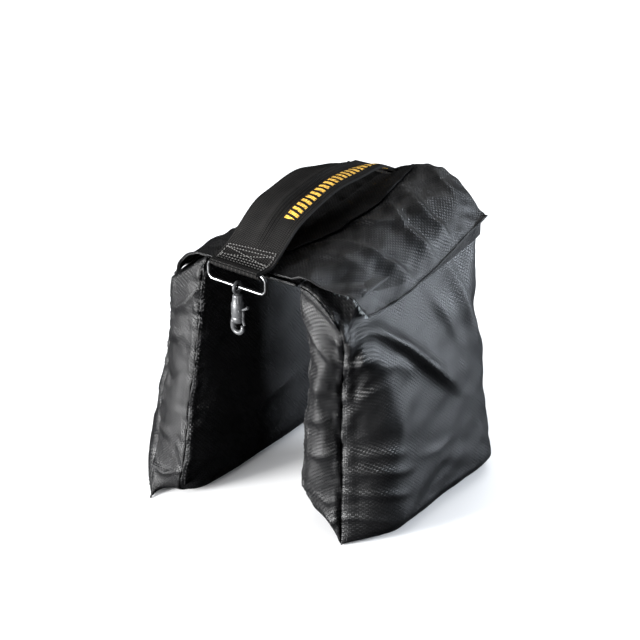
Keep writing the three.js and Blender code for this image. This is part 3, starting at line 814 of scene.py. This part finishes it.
def skin_uv(places, faces):
    """Places on the flat cloth for each corner of each face, in metres."""
    corners = places[faces]
    spread = corners.max(1) - corners.min(1)
    flat = np.argmin(spread, 1)
    a = corners[:, :, 0] * WIDTH
    b = corners[:, :, 1] * DEPTH
    c = corners[:, :, 2] * TOP
    u = np.where((flat == 0)[:, None], b, a)
    v = np.where((flat == 2)[:, None], b, c)
    return np.stack([u, v], 2)


def place_leg(side, mm):
    sign = SIDES[side]
    x, y, z = mm.T * MM
    return np.stack([MIDDLE + sign * (INNER + x), FRONT + y, z], 1)


def cut_out(name, points, faces, uv, side, thick=0.9 * MM):
    """One panel of the skin as a piece of its own, with the cloth's thickness."""
    used, renumbered = np.unique(faces, return_inverse=True)
    renumbered = renumbered.reshape(faces.shape)
    if side == "left":
        renumbered, uv = renumbered[:, ::-1], uv[:, ::-1]
    piece = new_piece(name, points[used], renumbered, NYLON, uv.reshape(-1, 2))
    cloth = piece.modifiers.new("cloth", "SOLIDIFY")
    cloth.thickness = thick
    cloth.offset = -1
    return final_mesh(piece)


def skin_line(side, points, places, faces, fixed, at, running):
    """Points and normals along a line of the skin: fixed axes at their values, running along one."""
    chosen = np.ones(len(places), bool)
    for axis, value in zip(fixed, at):
        lines = np.unique(np.round(places[:, axis], 5))
        nearest = lines[np.argmin(np.abs(lines - value))]
        chosen &= np.abs(places[:, axis] - nearest) < 1e-4
    order = np.argsort(places[chosen][:, running])
    normals = vertex_normals(points, faces)
    if side == "left":
        normals = -normals
    return points[chosen][order], normals[chosen][order]


def leg_stitches(side, points, places, faces):
    """Top stitching beside the leg's four upright seams."""
    rows = []
    margin = 3.2 * MM / DEPTH
    for number, (a, b) in enumerate([(1, margin), (0, margin), (1, 1 - margin), (0, 1 - margin)]):
        path, normals = skin_line(side, points, places, faces, (0, 1), (a, b), 2)
        rows.append(stitch_row(f"row_{number}", path[4:-12], normals[4:-12], THREAD))
    return joined(f"{side}_seam_stitches", rows)


def fill_leg(side, mm, faces):
    """The liner bag just inside the skin, gathered into its neck, and the sand inside the liner."""
    normals = vertex_normals(mm, faces)
    tie_low, tie_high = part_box(f"{side}_liner_tie")
    neck = ((tie_low + tie_high) / 2 / MM)
    for name, inset, level, material in (("liner_bag", 5.0, 190, LINER), ("sand_fill", 7.5, 146, SAND)):
        inner = place_leg(side, mm - inset * normals) / MM
        height = inner[:, 2]
        is_liner = name == "liner_bag"
        gather = smooth(height, 138, 172) if is_liner else smooth(height, 120, 146) * 0.5
        gather = gather[:, None]
        inner[:, :2] = inner[:, :2] * (1 - gather) + np.array([neck.x, neck.y]) * gather
        spread = inner[:, :2] - np.array([neck.x, neck.y])
        if is_liner:
            size = np.linalg.norm(spread, axis=1, keepdims=True)
            ring = spread / np.maximum(size, 0.1) * 6
            inner[:, :2] += np.where(gather > 0.5, (2 * gather - 1), 0) * ring
        inner[:, 2] = np.clip(height, 3.0 + inset / 4, level)
        turned = faces[:, ::-1] if side == "left" else faces
        piece = new_piece(f"{side}_{name}_inside", inner * MM, turned, material)
        attach(piece, f"{side}_leg", "liner" if is_liner else "sand", f"{side}_{name}")


def make_leg(side):
    places, faces, panels = box_skin()
    skin = inflate(f"{side}_skin", sewn_box(places, side), faces, places[:, 2] > 1 - 1e-6)
    points, places, faces, panel = finer_skin(skin, places, panels)
    filled, pinched = settle(side, steady(side, points, places) / MM, places)
    points = place_leg(side, wrinkle(side, pinched, places, faces))
    uv = skin_uv(places, faces)
    body = f"{side}_leg"
    for name, kinds in (("outer_panel", (OUTER, CAP)), ("inner_panel", (INSIDE,)), ("gusset", (GUSSET,))):
        chosen = np.isin(panel, kinds)
        piece = cut_out(f"{side}_{name}_cloth", points, faces[chosen], uv[chosen], side)
        attach(piece, body, "nylon", f"{side}_{name}")
    fill_leg(side, filled, faces)
    attach(leg_stitches(side, points, places, faces), body, "webbing")


# ---- the closure over each leg: a shoulder on the saddle's edge, and the flap beyond the fold ----

# Each leg's closure seen from the front, at a place along its depth: how far each point is from the
# bag's middle and how high, in millimetres, from the middle out to the flap's lower edge.
CLOSURE = {
    "right": [
        (0.02, [(0, 206), (25, 207), (45, 208), (62, 204), (78, 198), (88.5, 189)]),
        (0.43, [(0, 214), (25, 218), (46, 222), (64, 217), (80, 206), (91, 187.5)]),
        (0.66, [(0, 219), (25, 226), (46, 230), (64, 226), (82, 214), (92, 197)]),
        (0.97, [(0, 225), (25, 236), (46, 238), (62, 234), (80, 219), (90, 209)]),
    ],
    "left": [
        (0.0, [(0, 205), (25, 206.5), (42, 207), (56, 202), (67, 192), (75, 178)]),
        (0.32, [(0, 210), (25, 209), (45, 205), (60, 199), (72, 192), (84, 182)]),
        (0.6, [(0, 216), (25, 215), (45, 211), (60, 205), (74, 196), (87, 184)]),
        (1.0, [(0, 223), (25, 224), (45, 220), (60, 214), (76, 205), (89, 194)]),
    ],
}
FLAP_FRONT = {"right": (2, 20), "left": (-5, 3)}      # where its front edge is, inboard and outboard
FOLD_SHARE = 0.60                                      # how far across the closure it folds open
SHOULDER_FLAT = 0.072                                  # the width of each cloth when laid flat
FLAP_FLAT = 0.046
CLOTH_THICK = 1.2 * MM
HEM = 1.0 * MM                                         # radius of a rolled front hem
CLOSURE_FOLDS = {
    "right": [
        ([(16, 44), (34, 53), (52, 56), (78, 63), (104, 75)], 5.0, 4.6, 0.55),
        ([(40, 112), (56, 104), (71, 97), (88, 100), (106, 104)], 5.5, 4.4, 0.6),
        ([(40, 134), (56, 126), (73, 120), (106, 127)], 5.5, 4.0, 0.6),
        ([(28, 80), (49, 84), (64, 96)], 4.0, 2.6, 1.4),
        ([(14, 30), (36, 34), (60, 38), (84, 46)], 6.0, 2.6, 1.5),
        ([(36, 170), (58, 160), (84, 154)], 7.0, 3.0, 1.2),
        ([(84, 22), (96, 40), (104, 70)], 3.0, 2.0, 0.8),
    ],
    "left": [
        ([(20, 20), (44, 26), (70, 18), (96, 8)], 5.0, 2.6, 1.2),
        ([(24, 56), (50, 52), (76, 60), (98, 72)], 5.0, 2.8, 0.7),
        ([(20, 100), (50, 96), (80, 104), (104, 112)], 6.0, 2.8, 1.3),
        ([(34, 150), (60, 140), (90, 146)], 6.0, 2.6, 0.7),
    ],
}


def closure_grid(side, low, high, columns=44, rows=120):
    """A closure's surface between two shares of its width, in metres, with places on its cloth."""
    stations = CLOSURE[side]
    at = [place for place, _ in stations]
    profile = np.array([points for _, points in stations], float)
    u = np.linspace(low, high, columns)[:, None]
    v = graded(rows - 1, 0.3)[None, :]
    inboard, outboard = FLAP_FRONT[side]
    front = (inboard + (outboard - inboard) * smooth(u, 0.3, 1)) * MM
    y = front + (DEPTH - 3 * MM - front) * v
    place = np.clip(y / DEPTH, 0, 1)

    def fitted(k, axis):
        return np.polyval(np.polyfit(at, profile[:, k, axis], 3), place)

    controls = np.array([[fitted(k, axis) for axis in (0, 1)] for k in range(6)])
    outline = np.zeros((2, columns, rows))
    for row in range(rows):
        for column in range(columns):
            outline[:, column, row] = curve_through(controls[:, :, column, row], np.array(u[column, 0]))
    away, height = outline * MM
    width = 112.0
    lift = np.zeros((columns, rows))
    su, sy = np.broadcast_to(u * width, (columns, rows)), y / MM
    for path, wide, high_up, steep in CLOSURE_FOLDS[side]:
        lift += fold(su, sy, path, wide, high_up, steep)
    seed = SHAPE[side]["seed"] + 20
    lift += 1.3 * ripples(su, sy, seed, 42.0) * smooth(su, 6, 30) + 0.35 * ripples(su, sy, seed + 1, 15.0)
    points = np.stack([MIDDLE + SIDES[side] * away, FRONT + y, height], 2)
    normals = grid_normals(points) * SIDES[side]
    points = points + lift[:, :, None] * MM * normals
    uv = np.stack([su * MM, sy * MM], 2)
    return points, uv


def edge_roll(name, path, radius, material=None):
    """A rolled and stitched hem along an edge of the cloth."""
    return tube_piece(name, path, radius, material or NYLON, sides=10, squash=0.7)


def make_closure(side):
    sign = SIDES[side]
    shoulder, shoulder_uv = closure_grid(side, 0.06, FOLD_SHARE)
    flap, flap_uv = closure_grid(side, FOLD_SHARE, 1.0)
    if sign < 0:
        shoulder, shoulder_uv = shoulder[::-1], shoulder_uv[::-1]
        flap, flap_uv = flap[::-1], flap_uv[::-1]
    cloth = sheet_piece(f"{side}_shoulder_cloth", shoulder, shoulder_uv, CLOTH_THICK, NYLON)
    flat = (SHOULDER_FLAT, DEPTH)
    finish_sheet(cloth, "nylon", flat, "stretched", "saddle_panel", f"{side}_shoulder_panel")
    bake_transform(cloth)
    lid = sheet_piece(f"{side}_flap_cloth", flap, flap_uv, CLOTH_THICK, NYLON)
    finish_sheet(lid, "nylon", (FLAP_FLAT, DEPTH), "folded", f"{side}_loop_strip", f"{side}_flap")
    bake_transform(lid)
    lower = flap[-1 if sign > 0 else 0]
    trims = [edge_roll("lower_hem", lower, 1.15 * MM), edge_roll("front_hem", flap[:, 0], HEM)]
    bend_between(joined(f"{side}_flap_hem", trims))
    inward = -4 if sign > 0 else 3
    row = flap[inward]
    normals = grid_normals(flap)[inward]
    stitches = stitch_row(f"{side}_flap_stitches", row[4:-4], normals[4:-4], THREAD)
    bend_between(stitches)
    front_roll = edge_roll(f"{side}_shoulder_hem", shoulder[:, 0], HEM)
    bend_between(front_roll)
    make_tapes(side, flap)
    if sign > 0:
        bend_between(make_fray(flap))


def finish_sheet(piece, slot, flat, held, rests_on, *replaced):
    if replaced:
        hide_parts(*replaced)


def make_tapes(side, flap):
    """The loop strip sewn to the leg below the flap, and the hook strip inside the flap."""
    sign = SIDES[side]
    edge = flap[-1 if sign > 0 else 0]
    start = 3 if sign > 0 else 16
    across = np.linspace(0, 1, 9)[:, None, None]
    along = edge[start:-3][None]
    back = smooth(np.linspace(0, 1, along.shape[1]), 0.25, 0.95)[None, :, None]
    low = np.array([0, 0, -1]) * (2.0 * MM + 13 * MM * back)
    high = np.array([0, 0, 0.6 * MM])
    inset = np.array([-sign * 3.4 * MM, 0, 0])
    loop = along + inset + low * (1 - across) + high * across
    uv = np.stack([np.broadcast_to(across[:, :, 0] * 12 * MM, loop.shape[:2]), loop[:, :, 1]], 2)
    if sign < 0:
        loop, uv = loop[:, ::-1], uv[:, ::-1]
    strip = sheet_piece(f"{side}_loop_tape", loop[::-1], uv[::-1], 1.2 * MM, TAPE)
    attach(strip, f"{side}_leg", "hook_and_loop", f"{side}_loop_strip")
    first, last = (-14, -3) if sign > 0 else (2, 13)
    inside = flap[first:last, start:-3] - grid_normals(flap)[first:last, start:-3] * 2.3 * MM
    uv = np.stack([inside[:, :, 0], inside[:, :, 1]], 2)
    hooks = sheet_piece(f"{side}_hook_tape", inside, uv, 1.0 * MM, TAPE)
    attach(hooks, f"{side}_flap", "hook_and_loop", f"{side}_hook_strip")


def make_fray(flap):
    """Loose fibres along the cut front edge of the right flap, thickest at its lower corner."""
    draw = np.random.default_rng(17)
    fibres = []
    for number in range(70):
        column = int(len(flap) * (1 - abs(draw.normal(0, 0.3)))) - 1
        base = flap[max(column, 2), 0]
        out = np.array([draw.uniform(-0.5, 0.9), -1.0, draw.uniform(-0.9, 0.5)])
        out *= draw.uniform(1.2, 3.4) * MM / np.linalg.norm(out)
        droop = np.array([0, 0, -draw.uniform(0.1, 0.9) * MM])
        start = base + np.array([0, 0.6, draw.uniform(-1.0, 0.2)]) * MM
        path = [start, start + out * 0.6, start + out + droop]
        fibres.append(tube_piece(f"fibre_{number}", path, 0.16 * MM, FRAY, sides=4))
    return joined("right_flap_fray", fibres)


# ---- the saddle, the centre panel and the webbing ----

def make_saddle():
    """The fabric bridge between the legs, and the darker panel on it under the handle."""
    low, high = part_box("saddle_panel")
    u, v = np.meshgrid(np.linspace(0, 1, 40), graded(90, 0.3), indexing="ij")
    x = low.x + 2 * MM + (high.x - low.x - 4 * MM) * u
    y = FRONT + 3 * MM + (DEPTH - 4.5 * MM) * v
    sag = 1.5 * MM * ripples(x / MM, y / MM, 31, 60.0)
    z = TOP - 2.4 * MM + REAR_RISE * v + sag * smooth(v, 0, 0.2) - 0.5 * MM * np.sin(np.pi * u)
    points = np.stack([x, y, z], 2)
    uv = np.stack([x, y], 2)
    saddle = sheet_piece("saddle_cloth", points, uv, 1.6 * MM, NYLON)
    flat = (high.x - low.x, DEPTH)
    finish_sheet(saddle, "nylon", flat, "stretched", "right_shoulder_cloth", "saddle_panel")
    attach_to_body(saddle, "saddle")
    attach(edge_roll("saddle_hem", points[:, 0], 1.3 * MM), "saddle", "nylon")
    make_centre_panel()


# The centre panel's bound right edge, as distances in millimetres to the right of the bag's middle
# and back from the front seam; it lies on the right shoulder's cloth.
PANEL_EDGE = [(11, 30), (18, 46), (25, 62), (31, 84), (34, 104), (34, 126), (31, 146), (27, 166)]


def make_centre_panel():
    rows = 90
    edge = curve_through(PANEL_EDGE, np.linspace(0, 1, rows))
    right, _ = closure_grid("right", 0.0, 0.5, 40, 100)
    left, _ = closure_grid("left", 0.0, 0.5, 40, 100)

    def height(x, y):
        """The top of the cloth under the panel, on whichever side."""
        source = right if x > MIDDLE else left
        flat = source.reshape(-1, 3)
        nearest = np.argsort((flat[:, 0] - x) ** 2 + (flat[:, 1] - y) ** 2)[:4]
        weight = 1 / (1e-6 + np.hypot(flat[nearest, 0] - x, flat[nearest, 1] - y))
        return (flat[nearest, 2] * weight).sum() / weight.sum()

    columns = 36
    points = np.zeros((columns, rows, 3))
    for row in range(rows):
        end = MIDDLE + edge[row, 0] * MM
        y = FRONT + edge[row, 1] * MM
        for column in range(columns):
            x = MIDDLE - 30 * MM + (end - MIDDLE + 30 * MM) * column / (columns - 1)
            points[column, row] = x, y, height(x, y) + 2.0 * MM
    uv = points[:, :, :2].copy()
    panel = sheet_piece("centre_panel_cloth", points, uv, 0.9 * MM, PANEL)
    finish_sheet(panel, "dark_panel", (0.062, 0.14), "stretched", "saddle_cloth", "centre_panel")
    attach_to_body(panel, "saddle")
    trims = [edge_roll("bound", line, 1.2 * MM, PANEL) for line in (points[-1], points[0], points[:, 0])]
    attach(joined("centre_panel_binding", trims), "saddle", "dark_panel")


# The handle's two edges, as distance back from the front seam and height, in millimetres.
HANDLE_LEFT = [
    (-13.5, 209.2), (0, 210), (9, 213), (17, 219), (29, 229), (44, 237.5), (60, 242), (80, 245),
    (100, 245), (120, 240.5), (140, 234), (158, 228.5), (171, 226.5),
]
HANDLE_RIGHT = [
    (-13.5, 209.2), (0, 211), (9, 216.5), (20, 224.5), (34, 233), (52, 240), (72, 244), (95, 246.6),
    (116, 247), (136, 245.5), (152, 240), (164, 232), (172, 228),
]
FRONT_BEND = ((0, FRONT + 2 * MM, TOP), (0, FRONT + 22 * MM, TOP))      # where each end of the handle
REAR_BEND = ((0, REAR - 8 * MM, TOP), (0, REAR - 28 * MM, TOP))         # goes from the saddle to its body


def handle_surface(rows=220, columns=33):
    t = np.linspace(0, 1, rows)
    left, right = curve_through(HANDLE_LEFT, t), curve_through(HANDLE_RIGHT, t)
    u = np.linspace(0, 1, columns)[:, None]
    middle = left * (1 - u[:, :, None]) + right * u[:, :, None]
    raised = smooth(t, 0.14, 0.34) * (1 - smooth(t, 0.82, 0.97))
    crease = 2.6 * np.exp(-(((u - 0.50) / 0.09) ** 2)) - 1.6 * np.exp(-(((u - 0.64) / 0.10) ** 2))
    edge_curl = -1.8 * np.exp(-(u / 0.10) ** 2) - 1.0 * np.exp(-((1 - u) / 0.08) ** 2)
    bump = (crease + edge_curl) * raised
    bump += 0.5 * ripples(u * 50, t[None] * 230, 51, 34.0) * raised
    narrow = 1 - 0.03 * raised - 0.13 * (1 - smooth(t, 0, 0.1))
    x = WEB_X / MM + (u - 0.5) * WEB_WIDTH / MM * narrow
    points = np.stack([np.broadcast_to(x, u.shape[:1] + t.shape), FRONT / MM + middle[:, :, 0],
                       middle[:, :, 1] + bump], 2) * MM
    length = distances(points[columns // 2])
    uv = np.stack(np.broadcast_arrays(u * WEB_WIDTH, length[None]), 2)
    return points, uv


def make_handle():
    """The carry handle in two halves, each sewn down at its end."""
    points, uv = handle_surface()
    half = points.shape[1] // 2
    halves = (("handle_front_webbing", slice(0, half + 1), FRONT_BEND),
              ("handle_rear_webbing", slice(half, None), REAR_BEND))
    for name, part, bend in halves:
        piece = sheet_piece(name, points[:, part], uv[:, part], 2.0 * MM, PRINTED)
        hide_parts("handle_webbing")
        bend_between(piece)
    make_box_stitching(points, uv)
    make_ring_loop(points)


def make_box_stitching(points, uv):
    """Zigzag and box stitching that holds the front of the handle down."""
    normals = grid_normals(points)
    columns = points.shape[0]
    rows = []
    length = uv[0, :, 1]

    def line(name, start, end):
        """A row of stitches between two places, each a share across and millimetres along."""
        t = np.linspace(0, 1, 40)
        across = (start[0] + (end[0] - start[0]) * t) * (columns - 1)
        along = np.interp((start[1] + (end[1] - start[1]) * t) * MM, length, np.arange(len(length)))
        i, j = np.round(across).astype(int), along
        k = np.clip(np.floor(j).astype(int), 0, len(length) - 2)
        f = (j - k)[:, None]
        path = points[i, k] * (1 - f) + points[i, k + 1] * f
        rows.append(stitch_row(name, path + normals[i, k] * 0.25 * MM, normals[i, k], PALE_THREAD,
                               2.8 * MM, 2.0 * MM, 0.42 * MM))

    for number, along in enumerate((5, 8, 11, 14, 22, 25)):
        line(f"across_{number}", (0.06, along), (0.94, along))
    line("left", (0.06, 6), (0.06, 25))
    line("right", (0.94, 6), (0.94, 25))
    line("cross_one", (0.06, 12.5), (0.94, 22))
    line("cross_two", (0.94, 12.5), (0.06, 22))
    stitches = joined("handle_box_stitches", rows)
    bend_between(stitches)


def make_ring_loop(points):
    """The strap's front end, folded round the ring and sewn back under the handle."""
    start = points[:, 0]
    bar = Vector((0, (RING_LOW.y + RING_HIGH.y) / 2, RING_HIGH.z - 1.3 * MM))
    radius = 2.6 * MM
    angles = np.linspace(np.pi / 2, 3 * np.pi / 2, 18)
    turn = [(bar.y + radius * math.cos(a), bar.z + radius * math.sin(a)) for a in angles]
    path = [(start[0, 1] + 1 * MM, start[:, 2].mean())] + turn
    path += [(bar.y + 6 * MM, bar.z - radius), (FRONT - 1 * MM, bar.z - radius - 0.4 * MM)]
    path.append((FRONT + 5 * MM, TOP - 6 * MM))
    u = np.linspace(0, 1, 33)[:, None]
    fine = curve_through(path, np.linspace(0, 1, 80))
    x = WEB_X + (u - 0.5) * 0.87 * WEB_WIDTH
    grid = np.stack(np.broadcast_arrays(x, fine[None, :, 0], fine[None, :, 1]), 2)
    length = distances(fine)
    uv = np.stack(np.broadcast_arrays(u * WEB_WIDTH, length[None]), 2)
    loop = sheet_piece("ring_loop_webbing", grid[::-1], uv[::-1], 1.2 * MM, WEBBING)
    attach(loop, "saddle", "webbing", "ring_loop", "front_handle_tab")
    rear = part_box("rear_handle_tab")
    y = np.linspace(rear[0].y - 8 * MM, rear[1].y, 30)
    z = np.interp(y, points[16, -40:, 1], points[16, -40:, 2]) - 2.4 * MM
    grid = np.stack(np.broadcast_arrays(x, y[None], z[None]), 2)
    uv = np.stack(np.broadcast_arrays(u * WEB_WIDTH, y[None]), 2)
    tab = sheet_piece("rear_handle_end", grid, uv, 1.6 * MM, WEBBING)
    attach(tab, "saddle", "webbing", "rear_handle_tab")


# ---- the ring and the swivel snap hook ----

def make_ring():
    wire = (RING_HIGH.y - RING_LOW.y) / 2
    x0, x1 = RING_LOW.x + wire, RING_HIGH.x - wire
    z0, z1 = RING_LOW.z + wire, RING_HIGH.z - wire
    y = (RING_LOW.y + RING_HIGH.y) / 2
    corner = 5 * MM
    path = []
    for cx, cz, start in ((x1 - corner, z1 - corner, 0), (x0 + corner, z1 - corner, 90),
                          (x0 + corner, z0 + corner, 180), (x1 - corner, z0 + corner, 270)):
        for step in range(0, 91, 9):
            angle = math.radians(start + step)
            path.append((cx + corner * math.cos(angle), y, cz + corner * math.sin(angle)))
    ring = tube_piece("ring_wire", path, wire, WIRE, sides=20, closed=True, up=(0, 1, 0))
    attach(ring, "ring", "wire", "front_ring")


def make_snap():
    """The snap hook: a swivel eye, a fluted collar, a barrel, the hook and its thumb lever."""
    eye_low, eye_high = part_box("snap_eye")
    low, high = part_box("snap_body")
    gate_low, gate_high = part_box("snap_gate")
    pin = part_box("gate_pin")
    x, y = (eye_low.x + eye_high.x) / 2, (eye_low.y + eye_high.y) / 2
    centre = (x, y, 0)
    eye_radius, wire = 3.9 * MM, 1.2 * MM
    eye_z = eye_high.z - eye_radius - wire
    circle = [(x, y + eye_radius * math.cos(a), eye_z + eye_radius * math.sin(a))
              for a in turns(32)]
    eye = tube_piece("eye_wire", circle, wire, SNAP, sides=14, closed=True, up=(1, 0, 0))
    top = eye_z - eye_radius + 0.6 * MM
    post = lathe_piece("eye_post", [(0.2 * MM, top + 1 * MM), (1.5 * MM, top), (1.9 * MM, top - 0.8 * MM),
                                    (1.5 * MM, top - 1.6 * MM), (1.5 * MM, eye_low.z + 1.7 * MM),
                                    (2.5 * MM, eye_low.z + 1.4 * MM), (2.5 * MM, eye_low.z + 0.3 * MM),
                                    (2.1 * MM, eye_low.z)], centre, SNAP)
    attach(joined("snap_swivel_eye", [eye, post]), "eye", "snap_metal", "snap_eye")
    make_snap_body(low, high, x, y)
    make_snap_gate(gate_low, gate_high, pin, y)


# The snap's collar and barrel: radius and height from the collar's top, in millimetres.
SNAP_OUTLINE = [
    (2.4, 0), (3.2, -0.2), (3.7, -0.9), (3.9, -1.8), (4.1, -5.6), (4.2, -6.4), (4.7, -7.0), (5.0, -7.6),
    (5.05, -12), (5.0, -17.2), (4.65, -17.5), (4.65, -18.0), (4.95, -18.4), (4.8, -20.5), (4.0, -22.2),
    (2.6, -23.0),
]


def make_snap_body(low, high, x, y):
    collar_top = high.z
    sides = 48
    angle = turns(sides)
    fluted = 0.45 * MM * (0.5 + 0.5 * np.cos(12 * angle))
    rings = []
    for radius, drop in SNAP_OUTLINE:
        flute = fluted if -6.2 < drop < -1.2 else 0
        size = radius * MM - flute
        rings.append(np.stack([x + size * np.cos(angle), y + 0.86 * size * np.sin(angle),
                               np.full(sides, collar_top + drop * MM)], 1))
    barrel = new_piece("barrel", np.concatenate(rings), ring_faces(len(rings), sides), SNAP)
    bend = 4.3 * MM
    bottom = low.z + bend + 1.9 * MM
    path = [(x - 3.0 * MM, y, collar_top - 20 * MM), (x - 4.0 * MM, y, collar_top - 23 * MM)]
    for a in np.linspace(np.pi, 2 * np.pi, 18):
        path.append((x + bend * math.cos(a), y, bottom + bend * math.sin(a)))
    path.append((x + bend - 0.3 * MM, y, bottom + 2.2 * MM))
    share = np.linspace(0, 1, len(path))
    girth = np.interp(share, [0, 0.3, 0.8, 1], [2.4 * MM, 2.0 * MM, 1.8 * MM, 1.2 * MM])
    hook = tube_piece("hook", path, girth, SNAP, sides=16, up=(0, 1, 0))
    attach(joined("snap_hook_body", [barrel, hook]), "snap", "snap_metal", "snap_body")


def make_snap_gate(low, high, pin, y):
    px, pz = (pin[0].x + pin[1].x) / 2, (pin[0].z + pin[1].z) / 2
    arm = [(px + 0.9 * MM, y, pz + 0.5 * MM), (px + 1.9 * MM, y, pz - 3 * MM),
           (px + 1.7 * MM, y, pz - 8 * MM), (low.x + 4.6 * MM, y, low.z + 0.6 * MM)]
    arm = curve_through(arm, np.linspace(0, 1, 20))
    blade = tube_piece("blade", arm, 1.05 * MM, SNAP, sides=12, up=(0, 1, 0))
    lever = [(px + 0.8 * MM, y, pz + 0.2 * MM), (px + 3.0 * MM, y, pz + 0.8 * MM),
             (high.x - 1.6 * MM, y, high.z - 2.2 * MM), (high.x - 0.4 * MM, y, high.z - 0.8 * MM)]
    lever = curve_through(lever, np.linspace(0, 1, 20))
    size = np.interp(np.linspace(0, 1, 20), [0, 0.5, 0.85, 1], [1.1 * MM, 0.9 * MM, 1.35 * MM, 0.9 * MM])
    thumb = tube_piece("thumb", lever, size, SNAP, sides=12, up=(0, 1, 0), squash=1.3)
    attach(joined("snap_gate_lever", [blade, thumb]), "gate", "snap_metal", "snap_gate")


# ---- camera, light and floor ----

def aim(thing, target):
    direction = Vector(target) - thing.location
    thing.rotation_euler = direction.to_track_quat("-Z", "Y").to_euler()


def make_camera():
    azimuth, elevation, distance = math.radians(37), math.radians(28), 1.4
    target = Vector((12.1 * MM, -6.3 * MM, 110 * MM))
    camera = bpy.data.objects.new("camera", bpy.data.cameras.new("camera"))
    bpy.context.scene.collection.objects.link(camera)
    camera.data.lens, camera.data.sensor_width = 102.4, 36
    camera.data.shift_x = 0.003
    camera.data.shift_y = 0.05
    flat = distance * math.cos(elevation)
    camera.location = target + Vector(
        (flat * math.sin(azimuth), -flat * math.cos(azimuth), distance * math.sin(elevation)))
    aim(camera, target)
    bpy.context.scene.camera = camera


def area_light(name, place, target, size, power, colour=(1, 1, 1)):
    light = bpy.data.objects.new(name, bpy.data.lights.new(name, "AREA"))
    bpy.context.scene.collection.objects.link(light)
    light.data.shape = "RECTANGLE"
    light.data.size, light.data.size_y = size
    light.data.energy = power
    light.data.color = colour
    light.location = place
    aim(light, target)


def make_stage():
    nodes = Nodes("floor", 0.9, specular=0.1)
    nodes.colour(nodes.mix(nodes.noise(3.0, 2.0, "Object"), (0.86, 0.86, 0.86), (0.90, 0.90, 0.90)))
    floor = new_piece("floor", [(-8, -8, -0.0005), (8, -8, -0.0005), (8, 8, -0.0005), (-8, 8, -0.0005)],
                      [(0, 1, 2, 3)], nodes.material)
    floor.visible_glossy = False
    world = bpy.data.worlds.new("studio")
    bpy.context.scene.world = world
    world.use_nodes = True
    background = world.node_tree.nodes["Background"]
    background.inputs[0].default_value = (0.95, 0.97, 1.0, 1)
    background.inputs[1].default_value = 0.95
    world.cycles_visibility.glossy = False
    middle = (0, 0, 0.12)
    area_light("key", (-0.70, -1.52, 0.27), middle, (0.5, 0.7), 135)
    area_light("rim", (1.05, 1.05, 0.30), middle, (0.45, 0.5), 36, (0.84, 0.91, 1.0))
    area_light("top", (-0.1, 1.0, 1.2), middle, (1.0, 0.6), 6)
    bpy.context.scene.view_settings.view_transform = "Standard"


# ---- making it all ----

make_camera()
make_stage()
for side in SIDES:
    make_leg(side)
    make_closure(side)
make_saddle()
make_handle()
make_ring()
make_snap()
WORDS = (
    ("liner_bag", LINER), ("sand_fill", SAND), ("liner_tie", TIE), ("wire", WIRE), ("panel", NYLON),
    ("flap", NYLON), ("strip", TAPE), ("handle", WEBBING), ("loop", WEBBING), ("ring", WIRE),
    ("snap", SNAP), ("pin", WIRE), ("spring", SPRING),
)
for name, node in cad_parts.items():
    for words, material in WORDS:
        if words in name:
            node.data.materials.clear()
            node.data.materials.append(material)
